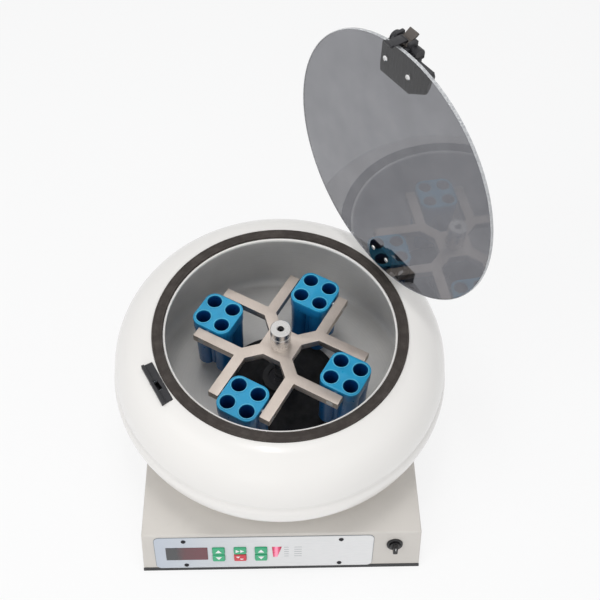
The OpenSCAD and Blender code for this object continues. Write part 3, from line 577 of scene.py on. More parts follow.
def plate(name, outline, z0, z1, edge=0.4, holes=(), matrix=HERE, rounds=3, crisp=CRISP):
    curve = bpy.data.curves.new(name, "CURVE")
    curve.dimensions = "2D"
    curve.fill_mode = "BOTH"
    curve.extrude = (z1 - z0) / 2 - edge
    curve.bevel_depth = edge
    curve.bevel_resolution = rounds
    curve.offset = -edge
    for loop in (outline, *holes):
        spline = curve.splines.new("POLY")
        spline.points.add(len(loop) - 1)
        for point, (x, y) in zip(spline.points, loop):
            point.co = (x, y, 0, 1)
        spline.use_cyclic_u = True
    obj = tidy(plain_mesh(to_object(name, curve)), matrix @ shift(0, 0, (z0 + z1) / 2), crisp)
    way = (matrix.to_3x3() @ Vector((0, 0, 1))).normalized()
    for polygon in obj.data.polygons:
        if abs(polygon.normal.dot(way)) > 0.9999:
            polygon.use_smooth = False
    return obj


def solid_block(name, x0, x1, y0, y1, z0, z1, edge=0.8, matrix=HERE, rounds=3):
    middle, size = box_frame(x0, x1, y0, y1, z0, z1)
    bm = bmesh.new()
    bmesh.ops.create_cube(bm, size=1.0)
    bmesh.ops.transform(bm, matrix=middle @ size, verts=bm.verts)
    bmesh.ops.bevel(bm, geom=bm.edges[:], offset=edge, segments=rounds, affect="EDGES",
                    profile=0.5)
    return tidy(from_bmesh(name, bm), matrix)


def along_y(x, z, y0):
    """A frame whose own z runs along y, from y0."""
    return shift(x, y0, z) @ turn(-90, "X")


print("mesh helpers ready")

# %% [markdown]
# Most of this machine is round: the mouldings, bowl, gasket, hub and boot are all turned
# forms. One Geometry Nodes tree makes them all. It takes a profile of points, lays out a grid
# with one row per profile point, and bends the grid round the axis. A profile is easy to
# change, and the number of steps round is an input.

# %% The tree that turns a profile round the axis


def new_tree(name, result, **inputs):
    """A group with its sockets. Gives it and what it is given."""
    tree = bpy.data.node_groups.new(name, "GeometryNodeTree")
    face = tree.interface
    for key, kind in inputs.items():
        face.new_socket(key.replace("_", " "), in_out="INPUT", socket_type="NodeSocket" + kind)
    face.new_socket(result, in_out="OUTPUT", socket_type="NodeSocketGeometry")
    return tree, add(tree, "NodeGroupInput").outputs


def end_tree(tree, geometry, finish):
    """Makes instances real, gives them their finish and ends the group."""
    real = add(tree, "GeometryNodeRealizeInstances", geometry)
    painted = add(tree, "GeometryNodeSetMaterial", Geometry=real.outputs[0], Material=finish)
    add(tree, "NodeGroupOutput", painted.outputs[0])
    return tree


def turning_tree():
    tree, given = new_tree("turned form", "Form", Profile="Geometry", Steps_Round="Int",
                           Points="Int", Finish="Material")
    rows, steps = given["Points"], given["Steps Round"]
    grid = add(tree, "GeometryNodeMeshGrid", Vertices_X=calc(tree, "ADD", steps, 1),
               Vertices_Y=rows)
    index = add(tree, "GeometryNodeInputIndex").outputs[0]
    column = calc(tree, "FLOOR", calc(tree, "DIVIDE", calc(tree, "ADD", index, 0.01), rows))
    row = calc(tree, "SUBTRACT", index, calc(tree, "MULTIPLY", column, rows))
    angle = calc(tree, "MULTIPLY", calc(tree, "DIVIDE", column, steps), 2 * math.pi)
    here = add(tree, "GeometryNodeInputPosition").outputs[0]
    sample = add(tree, "GeometryNodeSampleIndex", data_type="FLOAT_VECTOR", domain="POINT",
                 Geometry=given["Profile"], Value=here, Index=calc(tree, "ROUND", row))
    point = add(tree, "ShaderNodeSeparateXYZ", sample.outputs["Value"]).outputs
    across = calc(tree, "MULTIPLY", point["X"], calc(tree, "COSINE", angle))
    along = calc(tree, "MULTIPLY", point["X"], calc(tree, "SINE", angle))
    place = add(tree, "ShaderNodeCombineXYZ", across, along, point["Z"])
    moved = add(tree, "GeometryNodeSetPosition", Geometry=grid.outputs["Mesh"],
                Position=place.outputs[0])
    merged = add(tree, "GeometryNodeMergeByDistance", Geometry=moved.outputs[0], Distance=0.004)
    return end_tree(tree, merged.outputs[0], given["Finish"])


TURNING = turning_tree()


def run_tree(obj, group, **values):
    """Gives an object a Geometry Nodes modifier, and sets its inputs."""
    modifier = obj.modifiers.new(group.name, "NODES")
    modifier.node_group = group
    for socket in group.interface.items_tree:
        key = socket.name.replace(" ", "_")
        if socket.in_out == "INPUT" and key in values:
            modifier[socket.identifier] = values[key]
    return obj


def turned_mesh(name, profile, finish, steps, closed=True):
    """An object whose modifier turns its profile round the axis."""
    points = list(profile) + ([profile[0]] if closed else [])
    obj = mesh_from(name, [(r, 0, z) for r, z in points],
                    edges=[(i, i + 1) for i in range(len(points) - 1)])
    return run_tree(obj, TURNING, Steps_Round=steps, Points=len(points), Finish=finish)


def turned_form(name, profile, finish, steps=192, closed=True, matrix=HERE):
    return tidy(plain_mesh(turned_mesh(name, profile, finish, steps, closed)), matrix)


def ellipse(cx, cz, a, b, t0, t1, n):
    steps = [math.radians(t0 + (t1 - t0) * i / n) for i in range(n + 1)]
    return [(cx + a * math.cos(t), cz + b * math.sin(t)) for t in steps]


def flowing(points, n=6):
    """A smooth line through the points, for a moulding that has no corners."""
    ends = [points[0]] + list(points) + [points[-1]]
    out = []
    for p0, p1, p2, p3 in zip(ends, ends[1:], ends[2:], ends[3:]):
        for i in range(n):
            t = i / n
            out.append(tuple(0.5 * (2 * b + (c - a) * t + (2 * a - 5 * b + 4 * c - d) * t * t
                                    + (3 * b - a - 3 * c + d) * t ** 3)
                             for a, b, c, d in zip(p0, p1, p2, p3)))
    return out + [points[-1]]


print("turning tree nodes", len(TURNING.nodes))

# %% [markdown]
# The round housing is two glass-fibre mouldings that meet at a seam below the widest part.
# The upper one follows a quarter of an ellipse from the gasket down to the seam. The lower one
# bulges in a band under the seam and then draws in to its foot on the cabinet.

# %% Round housing, gasket and bowl
dome = ellipse(RING_R, DOME_Z, DOME_A, DOME_B, 89, 5, 72)
lip = [(193.5, 308.4), (193.5, 312.2), (193.9, 313.0), (194.6, 313.4), (196.1, 313.4),
       (196.8, 313.1), (197.2, 312.4)]
ledge = [(197.2, RING_Z - RING_H), (RING_R + 0.3, RING_Z - RING_H), (RING_R + 0.3, RING_Z - 2.8),
         (RING_R + 0.9, RING_Z - 2.1)]
hem = [(286.6, 230.9), (286.0, 229.7), (284.8, 229.2), (277, 229.2), (277, 235)]
inside = ellipse(RING_R, DOME_Z, DOME_A - WALL, DOME_B - WALL, 8, 60, 24)
inside += [(227, 305), (215, 305.8), (198, 305.8), (195, 306.2), (193.9, 307.2)]
upper = lip + ledge + dome + hem + inside
# The box in which the catch sits, in metres from the hook.
POCKET = (-0.0093, 0.0049, -0.0127, 0.0127, -0.027, 0.013)
top = turned_form("housing_top", upper, WHITE, 256)
top = shade(cut_away(top, [(POCKET, HOOK_METRES)], []))
dress(top, WHITE, "base", "shell_white", "upper_shell", "mouth_ring")

BAND_C, BAND_Z = BAND_R - 20, 204
outer = ellipse(BAND_C, BAND_Z, 20, 24, 50, 0, 16) + ellipse(BAND_C, BAND_Z, 20, 39, -4, -70, 22)
outer += flowing([(277.0, 166.5), (269.5, 150), (264, 132), (259, 120), (253, 110), (236, 97.5)])
inner = [(236, CAB_H), (206, CAB_H), (206, CAB_H + 3), (230, CAB_H + 3), (249.4, 112.5),
         (255, 122), (260, 134), (265.5, 151), (271.5, 169.5)]
inner += ellipse(BAND_C, BAND_Z, 16, 35, -70, -6, 14) + ellipse(BAND_C, BAND_Z, 16, 20, 0, 50, 10)
lower = [(279, SEAM_Z), (283.6, SEAM_Z), (284.4, 228.2)] + outer[1:] + inner + [(279, 221)]
dress(turned_form("housing_band", lower, WHITE, 256), WHITE, "base", "shell_white",
      "lower_casing", "casing_foot")

seal = ([(RING_RI, RING_Z - RING_H), (RING_R, RING_Z - RING_H)]
        + ellipse(RING_R - 1.2, RING_Z - 1.2, 1.2, 1.2, 0, 90, 5)
        + [(RING_R - 3.2, RING_Z), (RING_R - 3.7, RING_Z - 0.35), (RING_R - 4.2, RING_Z),
           (RING_RI + 4.2, RING_Z), (RING_RI + 3.7, RING_Z - 0.35), (RING_RI + 3.2, RING_Z)]
        + ellipse(RING_RI + 1.2, RING_Z - 1.2, 1.2, 1.2, 90, 180, 5))
dress(turned_form("gasket_ring", seal, GASKET_RUBBER, 256), GASKET_RUBBER, "base", "rubber_black",
      "gasket")

BEND, BEND_R, BEND_Z = 22, BOWL_R - 22, FLOOR_Z + 22
outside = ellipse(BEND_R, BEND_Z, BEND + BOWL_T, BEND + BOWL_T, -90, 0, 16)
rolled = [(BOWL_R + BOWL_T, 278), (BOWL_R + 3.6, 278), (BOWL_R + 4, 279), (BOWL_R + 3.6, 280),
          (BOWL_R + 0.5, 280), (BOWL_R, 279.5)]
inside = ellipse(BEND_R, BEND_Z, BEND, BEND, 0, -90, 16)
bowl = [(45, FLOOR_Z - BOWL_T)] + outside + rolled + inside + [(45, FLOOR_Z)]
dress(turned_form("bowl_skin", bowl, BOWL_GREY, 192), BOWL_GREY, "base", "bowl_grey", "bowl",
      "bowl_wall")

ripples = [(60 + 4 * i, 129.2 - 0.62 * i - 0.9 * (i % 2)) for i in range(11)]
boot = ([(32, 148), (35.4, 148), (36.2, 147.2), (38, 144.6), (42, 141), (50, 134.6)] + ripples
        + [(106, 122.2), (111.6, 121.2), (113, 120), (113, FLOOR_Z), (108, FLOOR_Z), (108, 118.6),
           (98, 120.4), (58, 126), (38, 139), (32, 142)])
dress(turned_form("spindle_boot", boot, BOOT_RUBBER, 128), BOOT_RUBBER, "base", "rubber_black",
      "bowl_boot")

# %% [markdown]
# The cabinet is folded sheet, so its edges are bends with a small radius, not knife edges. It
# starts as a block with eight corners, its bends are beveled, the bottom is left open and a
# wall is given to it. The air slots in the back repeat, so a tree cuts them.

# %% The tree that cuts air slots


def slot_tree():
    tree, given = new_tree("air slots", "Wall", Wall="Geometry", Slots="Int", First="Vector",
                           Pitch="Float", Cut="Vector", Finish="Material")
    step = add(tree, "ShaderNodeCombineXYZ", given["Pitch"]).outputs[0]
    line = add(tree, "GeometryNodeMeshLine", Count=given["Slots"],
               Start_Location=given["First"], Offset=step)
    block = add(tree, "GeometryNodeMeshCube", Size=given["Cut"])
    spread = add(tree, "GeometryNodeInstanceOnPoints", Points=line.outputs[0],
                 Instance=block.outputs["Mesh"])
    apart = add(tree, "GeometryNodeRealizeInstances", spread.outputs[0])
    taken = add(tree, "GeometryNodeMeshBoolean", operation="DIFFERENCE", Mesh_1=given["Wall"],
                Mesh_2=apart.outputs[0])
    return end_tree(tree, taken.outputs["Mesh"], given["Finish"])


SLOTS = slot_tree()
print("slot tree nodes", len(SLOTS.nodes))

# %% [markdown]
# The windows and holes of the cabinet's front and back are cut once it has its wall, and the
# air slots come last. A thin strip along the front's foot is the tray's dark edge.

# %% Cabinet


def front_y(z):
    return -FACE_Y + z * math.tan(math.radians(LEAN))


def side_x(z):
    return CAB_W_BOT + z * (CAB_W_TOP - CAB_W_BOT) / CAB_H


def bent_cabinet(bend=3.0, sheet=2.0):
    low, high = TRAY_H, CAB_H
    corners = [(s * side_x(z), y, z) for z in (low, high)
               for s, y in ((-1, front_y(z)), (1, front_y(z)), (1, BACK_Y), (-1, BACK_Y))]
    faces = [(0, 1, 5, 4), (1, 2, 6, 5), (2, 3, 7, 6), (3, 0, 4, 7), (4, 5, 6, 7)]
    obj = mesh_from("cabinet_shell", corners, faces)
    bm = bmesh.new()
    bm.from_mesh(obj.data)
    bends = [e for e in bm.edges if len(e.link_faces) == 2]
    bmesh.ops.bevel(bm, geom=bends, offset=bend, segments=5, affect="EDGES", profile=0.5,
                    clamp_overlap=True)
    bmesh.ops.recalc_face_normals(bm, faces=bm.faces)
    bm.to_mesh(obj.data)
    bm.free()
    wall = obj.modifiers.new("wall", "SOLIDIFY")
    wall.thickness, wall.offset, wall.use_even_offset = sheet, -1, True
    return plain_mesh(obj)


cabinet = bent_cabinet()
face_cuts = [(-202, -125.5, 29, 69, -5, 2), (-123.5, -19, 24, 70, -5, 2), (-16, -3, 38, 63, -5, 2)]
cabinet = cut_away(cabinet, [(b, FACE) for b in face_cuts]
                   + [((110, 138, BACK_Y - 5, BACK_Y + 2, 28, 50), HERE)],
                   [((60, CAB_H - 10, CAB_H + 2), HERE), ((11.3, -5, 2),
                                                          FACE @ shift(194, 66, 0)),
                    ((7.1, -6, 6), shift(80, BACK_Y, 40) @ turn(90, "X"))])
run_tree(cabinet, SLOTS, Slots=14, First=(-187.0, BACK_Y - 1, 50.0), Pitch=14.0,
         Cut=(6.0, 8.0, 40.0), Finish=PAINT)
cabinet = tidy(plain_mesh(cabinet))
dress(cabinet, PAINT, "base", "cabinet_paint", "base_cabinet")
trim = solid_block("tray_trim", -240.5, 240.5, 6.4, 9.6, 0.02, 0.5, 0.2, FACE)
dress(trim, TRAY_PAINT, "base", "tray_black")

# %% [markdown]
# The control panel is a thin printed overlay on a plate, with windows for the display, the
# keys and the light bar. The keys are caps with domed tops, and each carries a plain white
# mark set a hair above its face.

# %% Control panel, keys and marks
KEY_U, KEY_V = (-109.2, -72.3, -36.2), (57.0, 37.6)
KEY_W, KEY_H, KEY_GAP = 20.8, 17.2, 0.35
PANEL, PANEL_T, PANEL_EDGE = (-218, 157, 9, 92), 1.5, 0.35
SCREWS_ON_PANEL = [(-168, 83), (101, 83), (-166, 17), (100, 17)]
windows = [box_outline(-199.5, -128, 32, 66, 1.0, 3)]
for u in KEY_U:
    for v in KEY_V:
        w, h = KEY_W / 2 + KEY_GAP, KEY_H / 2 + KEY_GAP
        windows.append(box_outline(u - w, u + w, v - h, v + h, 2.0, 4))
wedge = [(-17.4, 65), (-15.4, 37), (-8, 37), (-0.4, 65)]
windows.append(wedge)
windows += [circle(2.1, u, v, 24) for u, v in SCREWS_ON_PANEL]
panel = plate("panel_overlay", box_outline(*PANEL, 9, 12), 0, PANEL_T, PANEL_EDGE, windows, FACE)
dress(panel, OVERLAY, "base", "panel_silver", "control_panel")
# A thin dark ring round the overlay is a painted shadow line along the plate's edge.
panel_shadow_ring = plate("panel_border", box_outline(-218.8, 157.8, 8.4, 92.8, 9.6, 12), 0.05, 0.75, 0.1,
               [box_outline(-216, 155, 11, 90, 7.5, 12)], FACE, 1)
dress(panel_shadow_ring, PLAIN_GREY, "base", "panel_silver")
ticks = [solid_block("tick", u, u + w, v - 0.45, v + 0.45, 1.45, 1.56, 0.03, FACE, 1)
         for v in (63.5, 57.3, 51.0, 44.8, 38.5) for u, w in ((3.5, 8.0), (21.0, 13.0))]
dress(joined("panel_ticks", ticks), PLAIN_GREY, "base", "panel_silver")

window = plate("display_glass", box_outline(-199.4, -128.1, 32.1, 65.9, 1.0, 3), 0, 2.1, 0.3, (),
               FACE)
dress(window, WINDOW, "base", "window_dark", "display_window")

bar = plate("light_wedge", wedge, 0, 2.0, 0.4, (), FACE)
bar_back = solid_block("light_back", -14.5, -9.5, 42, 62, -13.4, 0.2, 0.4, FACE)
dress(joined("light_bar_lens", [bar, bar_back]), LAMP_BAR, "base", "led_red", "led_lens")


def key_cap(node, u, v, finish, slot):
    at = FACE @ shift(u, v, 0)
    cap = plate(node + "_top", box_outline(-KEY_W / 2, KEY_W / 2, -KEY_H / 2, KEY_H / 2, 2.0, 5),
                -1, 3.9, 0.7, (), at)
    rim = solid_block(node + "_rim", -KEY_W / 2 - 1, KEY_W / 2 + 1, -KEY_H / 2 - 0.8, KEY_H / 2
                      + 0.8, -2.2, -0.3, 0.2, at)
    stem = turned_form(node + "_stem", [(0, -8.3), (2, -8.3), (2, -2), (0, -2)], finish, 24,
                       False, at)
    return dress(joined(node + "_cap", [cap, rim, stem]), finish, node, slot, node)


def triangle(x, y, w, h, way):
    points = [(-w / 2, -h / 2), (w / 2, -h / 2), (0, h / 2)]
    if way == "down":
        points = [(-a, -b) for a, b in points]
    if way == "right":
        points = [(b, -a) for a, b in points]
    return [(x + a, y + b) for a, b in points]


def key_mark(node, u, v, shapes):
    at = FACE @ shift(u, v, 0)
    parts = [plate("%s_m%d" % (node, i), s, 3.7, 4.05, 0.08, (), at, 1) for i,
             s in enumerate(shapes)]
    return dress(joined(node + "_mark", parts), MARK, node, "key_green")


half_moon = [(2.6 + 3.0 * math.cos(math.radians(180 + 15 * i)), -1.4
              + 3.0 * math.sin(math.radians(180 + 15 * i))) for i in range(13)]
KEYS = [("key_speed_up", 0, 0, [triangle(0, 0, 11, 8, "up")]),
        ("key_speed_down", 0, 1, [triangle(0, 0, 11, 8, "down")]),
        ("key_start", 1, 0, [triangle(-4, 0, 8, 7, "right"), triangle(4, 0, 8, 7, "right")]),
        ("key_stop", 1, 1, [triangle(-3.6, 2.0, 7, 5, "down"), half_moon]),
        ("key_time_up", 2, 0, [triangle(0, 0, 11, 8, "up")]),
        ("key_time_down", 2, 1, [triangle(0, 0, 11, 8, "down")])]
for node, column, row, shapes in KEYS:
    stop = node == "key_stop"
    key_cap(node, KEY_U[column], KEY_V[row], RED if stop else GREEN,
            "key_red" if stop else "key_green")
    key_mark(node, KEY_U[column], KEY_V[row], shapes)

# %% [markdown]
# The power switch is a round bezel with a stepped rim, and a knob with a bar across it for the
# fingers. Both are turned forms, and the bar is a rounded plate.

# %% Power switch
SWITCH_U, SWITCH_V, KNOB_TOP = 194, 66, 15.5
SWITCH = FACE @ shift(SWITCH_U, SWITCH_V, 0)
bezel = [(3.2, 3.5), (3.2, -16), (11, -22), (11, -6), (15, -6), (15, -2), (11, -2), (11, 0),
         (14, 0), (14, 1.6)]
bezel += ellipse(12.4, 1.9, 1.6, 1.6, 0, 90, 6) + [(10.4, 3.5), (10.0, 2.9), (9.8, 2.9),
                                                   (9.6, 3.5)]
dress(turned_form("switch_bezel", bezel, SHINY_BLACK, 64, matrix=SWITCH), SHINY_BLACK, "base",
      "display_black", "switch_body")

collar = [(0, -15), (3, -15), (3, 3.9), (9.3, 3.9), (9.5, 4.4)] + ellipse(8.7, 6.2, 0.8, 0.8, 0,
                                                                          90, 4) + [(0, 7)]
knob = turned_form("knob_collar", collar, SHINY_BLACK, 64, False, SWITCH)
grip = [(x, y) for x, y in circle(9, n=96) if abs(x) <= 4.4]
grip = sorted([p for p in grip if p[1] > 0], reverse=True) + sorted([p for p in grip if p[1] < 0])
bar = plate("knob_bar", grip, 6.6, KNOB_TOP, 0.9, (), SWITCH)
line = solid_block("knob_line", -0.5, 0.5, 1.0, 7.4, 15.3, 15.52, 0.08, SWITCH, 1)
dress(joined("knob", [knob, bar]), SHINY_BLACK, "switch_knob", "display_black", "switch_knob")
dress(joined("knob_mark", [line]), MARK, "switch_knob", "display_black")

# %% [markdown]
# Screws repeat, so one tree makes them all: a half sphere pressed flat for the head, a shank,
# and a socket cut by a six-sided prism. The places come in as loose points, and the tree puts
# one screw on each.

# %% The tree that makes socket screws


def screw_tree():
    tree, given = new_tree("socket screws", "Screws", Places="Geometry", Head_Radius="Float",
                           Head_Height="Float", Shank_Radius="Float", Shank_Length="Float",
                           Socket="Float", Finish="Material")

    def vector(x, y, z):
        return add(tree, "ShaderNodeCombineXYZ", x, y, z).outputs[0]

    def moved(solid, **how):
        return add(tree, "GeometryNodeTransform", Geometry=solid.outputs["Mesh"], **how).outputs[0]

    radius, height, length = (given[key] for key in ("Head Radius", "Head Height", "Shank Length"))
    ball = add(tree, "GeometryNodeMeshUVSphere", Segments=32, Rings=16, Radius=radius)
    dome_head = moved(ball, Scale=vector(1.0, 1.0, calc(tree, "DIVIDE", height, radius)))
    wide = calc(tree, "MULTIPLY", radius, 3.0)
    cube = add(tree, "GeometryNodeMeshCube", Size=vector(wide, wide, wide))
    below = moved(cube, Translation=vector(0.0, 0.0, calc(tree, "MULTIPLY", wide, -0.5)))
    prism = add(tree, "GeometryNodeMeshCylinder", Vertices=6, Radius=given["Socket"], Depth=height)
    socket_at = vector(0.0, 0.0, calc(tree, "MULTIPLY", height, 0.95))
    head = add(tree, "GeometryNodeMeshBoolean", operation="DIFFERENCE", Mesh_1=dome_head,
               Mesh_2=below)
    feed(head.inputs["Mesh 2"], moved(prism, Translation=socket_at))
    shank = add(tree, "GeometryNodeMeshCylinder", Vertices=24, Radius=given["Shank Radius"],
                Depth=length)
    rod = moved(shank, Translation=vector(0.0, 0.0, calc(tree, "MULTIPLY", length, -0.5)))
    both = add(tree, "GeometryNodeJoinGeometry", head.outputs["Mesh"])
    feed(both.inputs[0], rod)
    spread = add(tree, "GeometryNodeInstanceOnPoints", Points=given["Places"],
                 Instance=both.outputs[0])
    return end_tree(tree, spread.outputs[0], given["Finish"])


SCREWS = screw_tree()


def screws(name, places, head, height, shank, length, socket, finish, matrix):
    obj = mesh_from(name, [(x, y, 0) for x, y in places])
    run_tree(obj, SCREWS, Head_Radius=head, Head_Height=height, Shank_Radius=shank,
             Shank_Length=length, Socket=socket, Finish=finish)
    return tidy(plain_mesh(obj), matrix)


dress(screws("panel_screw_set", SCREWS_ON_PANEL, 4.2, 2.2, 1.6, 8.4, 1.5, DARK_STEEL,
             FACE @ shift(0, 0, PANEL_T)), DARK_STEEL, "base", "screw_black", "panel_screws")

# %% [markdown]
# The rotor is one milled plate with four cells. Its outline repeats every quarter turn, so only
# a quarter is written down. A small broken edge all round catches the light as on a real
# machined part. The hub is turned, with chamfers and a recess for its screw.

# %% Rotor plate and hub
quarter = [(PRONG_L, -PRONG_W), (PRONG_L, -CELL_W), (54.5, -CELL_W), (32, -16.5), (32, 16.5),
           (54.5, CELL_W), (PRONG_L, CELL_W), (PRONG_L, PRONG_W), (PRONG_W, PRONG_W)]
outline = []
for k in range(4):
    c, s = round(math.cos(k * math.pi / 2)), round(math.sin(k * math.pi / 2))
    outline += [(c * x - s * y, s * x + c * y) for x, y in quarter]
spider = plate("rotor_spider", outline, PLATE_Z - PLATE_T, PLATE_Z, 0.5,
               [circle(HUB_R - 0.2, n=96)], cell(0), 2)
PIN_HOLES = ((0.0066, -0.060, -0.0570), (0.0066, 0.0570, 0.060))
at_pins = [cell(k) @ shift(PIVOT_R * MM, 0, PIVOT_Z * MM) @ turn(90, "X") for k in range(4)]
pins = [(rod, at) for at in at_pins for rod in PIN_HOLES]
spider = shade(cut_away(spider, [], pins))
dress(spider, MILLED, "rotor", "rotor_alu", "rotor_plate")

hub = [(10, 236), (HUB_R - 0.8, 236), (HUB_R, 236.8), (HUB_R, 243), (30, 243), (30, 249.5),
       (HUB_R, 249.5), (HUB_R, 296), (HUB_R - 0.5, 296.5), (HUB_R - 0.5, 297.4), (HUB_R, 297.9),
       (HUB_R, HUB_Z - 1.2), (HUB_R - 1.2, HUB_Z), (7.0, HUB_Z), (5.6, HUB_Z - 1.4), (5.6, 296),
       (10, 296)]
dress(turned_form("hub", hub, TURNED, 128), TURNED, "rotor", "bright_steel", "rotor_hub")

# %% [markdown]
# Each bucket holds four tubes. Its shape follows a rule: four tapering columns on a square, a
# web between them, and a flat head with four bores and a raised lip round each. A tree lays
# the columns and lips on the four corners, and the head is a plate with four holes.

# %% The tree that lays four of a thing on a square


def four_tree():
    tree, given = new_tree("four on a square", "Four", Thing="Geometry", Pitch="Float",
                           Finish="Material")
    pitch = given["Pitch"]
    grid = add(tree, "GeometryNodeMeshGrid", Size_X=pitch, Size_Y=pitch, Vertices_X=2,
               Vertices_Y=2)
    spread = add(tree, "GeometryNodeInstanceOnPoints", Points=grid.outputs["Mesh"],
                 Instance=given["Thing"])
    return end_tree(tree, spread.outputs[0], given["Finish"])


FOUR = four_tree()


def four_of(name, profile, matrix, finish=BLUE):
    obj = turned_mesh(name, profile, finish, 64)
    run_tree(obj, FOUR, Pitch=TUBE_P, Finish=finish)
    return tidy(plain_mesh(obj), matrix)


print("square tree nodes", len(FOUR.nodes))

# %% [markdown]
# A bucket is drawn upright at its cell, from its tapered columns up to the lips of its bores.
# The lining of the bores is a piece of its own, so that it can take a deeper blue of painted
# shade.

# %% Buckets


def bucket(k, node):
    at = cell(k) @ shift(PIVOT_R, 0, 0)
    half = TUBE_P / 2 + 18.2
    bore = BUCKET_Z + 8
    column = [(0, BUCKET_Z + 0.4), (1, BUCKET_Z), (14.8, BUCKET_Z), (15.6, BUCKET_Z + 0.9),
              (17.0, 245.5), (13.2, 245.5), (13.2, bore + 5.8), (11.6, bore + 1.8), (7.8, bore),
              (0, bore - 0.4)]
    lining = [(TUBE_R, 268.6), (TUBE_R, bore + 6), (11.2, bore + 2.2), (7.5, bore + 0.4),
              (0, bore), (0, bore - 0.4), (7.8, bore), (11.6, bore + 1.8), (13.2, bore + 5.8),
              (13.2, 268.6)]
    lip = [(TUBE_R, 268.2)] + ellipse(TUBE_R + 0.9, 269.0, 0.9, 1.0, 180, 90, 4)
    lip += ellipse(TUBE_R + 1.5, 269.0, 0.9, 1.0, 90, 0, 4) + [(TUBE_R + 2.4, 268.2)]
    holes = [circle(TUBE_R + 0.2, x * TUBE_P / 2, y * TUBE_P / 2) for x in (-1, 1)
             for y in (-1, 1)]
    head = plate(node + "_head", box_outline(-half, half, -half, half, 18, 14), 244, 269, 0.9,
                 holes, at)
    reach, thin, height = (-TUBE_P / 2 - 8, TUBE_P / 2 + 8), (-4, 4), (145, 245)
    web = solid_block(node + "_web", *reach, *thin, *height, 1.5, at)
    web2 = solid_block(node + "_web2", *thin, *reach, *height, 1.5, at)
    parts = [head, four_of(node + "_columns", column, at), four_of(node + "_lips", lip, at), web,
             web2]
    dress(joined(node + "_holder", parts), BLUE, node, "bucket_blue", node)
    dress(four_of(node + "_bores", lining, at, finish=BORE_PAINTED_SHADE_BLUE), BORE_PAINTED_SHADE_BLUE, node, "bucket_blue")


for k, node in enumerate(("bucket_a", "bucket_b", "bucket_c", "bucket_d")):
    bucket(k, node)

# %% [markdown]
# The lid is a disc of smoked acrylic. Its edge is polished, so it is cleared and rounded, and
# its paler colour there is a painted highlight. Its screws show from below, with the black
# hardware seen dimly through the sheet.

# %% Lid, with its screws and hinge
HSCREW = [(190.5, HINGE_T + 17), (190.5, HINGE_T - 17)]
LSCREW = [(-189.5, 36), (-189.5, -12.5)]
disc = plate("lid_sheet", circle(LID_R - 1.2, n=256), RING_Z, RING_Z + LID_T, 0.3,
             [circle(2.6, x, y, 32) for x, y in HSCREW + LSCREW], LID, 3, 12)
dress(disc, ACRYLIC, "lid", "lid_acrylic", "lid_disc")
rim = [(LID_R - 1.1, RING_Z + 0.02), (LID_R - 0.6, RING_Z), (LID_R, RING_Z + 0.6),
       (LID_R, RING_Z + 4.4), (LID_R - 0.6, RING_Z + LID_T), (LID_R - 1.1, RING_Z + 4.98)]
dress(turned_form("lid_rim", rim, EDGE_HIGHLIGHT, 256, matrix=LID), EDGE_HIGHLIGHT, "lid", "lid_acrylic")

UNDER = LID @ shift(0, 0, RING_Z) @ turn(180, "X")
flipped = [(x, -y) for x, y in HSCREW + LSCREW]
dress(screws("lid_screw_set", flipped, 4.4, 2.4, 2.5, 9.0, 1.6, BRIGHT, UNDER), BRIGHT, "lid",
      "bright_steel", "lid_screws")

LEAF_Y = (HINGE_T - 21.4, HINGE_T + 21.4)
leaf_pad = plate("leaf_pad", box_outline(178, 221, HINGE_T - 29, HINGE_T + 29, 10, 8), 322, 326,
                 0.8, (), LID)
leaf_rise = solid_block("leaf_rise", 206, 221, *LEAF_Y, 322.5, 338, 1.2, LID)
leaf_arm = solid_block("leaf_arm", 214, HINGE_R, *LEAF_Y, 333, HINGE_Z + 2, 1.2, LID)
barrel = [(4.05, 0), (8.9, 0), (9.5, 0.6), (9.5, 42.2), (8.9, 42.8), (4.05, 42.8)]
knuckle = turned_form("leaf_knuckle", barrel, BLACK, 48, matrix=LID @ along_y(HINGE_R, HINGE_Z,
                                                                              LEAF_Y[0]))
dress(joined("lid_leaf", [leaf_pad, leaf_rise, leaf_arm, knuckle]), BLACK, "lid", "latch_black",
      "hinge_leaf")

# %% [markdown]
# The latch sits on the lid's outer side. A ribbed plate lies on the acrylic, a housing stands
# on it, and two cheeks hold the pin that the lever turns on. The lever has a broad tab for the
# thumb and a thin hooked arm.

# %% Latch body and lever
base_line = [(-161, 47), (-161, -15), (-182, -47), (-188, -49.6), (-194, -47.5), (-200, -49.4),
             (-207, -51), (-216, -47), (-216, 43), (-210, 49), (-172, 49)]
SLOT = (LATCH_T - 11, LATCH_T + 11)
WALL_Y = (LATCH_T - 27, LATCH_T + 27)
pads = [plate("latch_pad_a", base_line, 322.7, 326, 0.6, (), LID),
        solid_block("latch_wall_a", -205, -168, *WALL_Y, 324, 345, 2.0, LID, 4),
        solid_block("latch_wall_b", -212, -204, SLOT[1], WALL_Y[1], 324, 348.6, 1.6, LID, 4),
        solid_block("latch_wall_c", -212, -204, WALL_Y[0], SLOT[0], 324, 348.6, 1.6, LID, 4),
        plate("latch_flank", [(-163, 30), (-163, -13), (-184, -44), (-206, -47), (-212, -44),
                              (-212, -8), (-176, -8)], 324, 334, 1.5, (), LID)]
for y in (LATCH_T - 17, LATCH_T + 11):
    pads.append(solid_block("latch_cheek", -229, -206, y, y + 6, 327.8, 343, 1.0, LID))
    pads.append(solid_block("latch_foot", -222, -206, y, y + 6, 322.2, 330, 0.8, LID))
for y0 in (WALL_Y[0], WALL_Y[1] - 12):
    hump = [(0, 0.0), (9.0, 0), (10, 1.0), (10, 11), (9.0, 12), (0, 12)]
    pads.append(turned_form("latch_hump", hump, BLACK, 48, False,
                            LID @ along_y(-211.8, 338.6, y0)))
dress(joined("latch_housing", pads), BLACK, "lid", "latch_black", "latch_body")
ribs = []
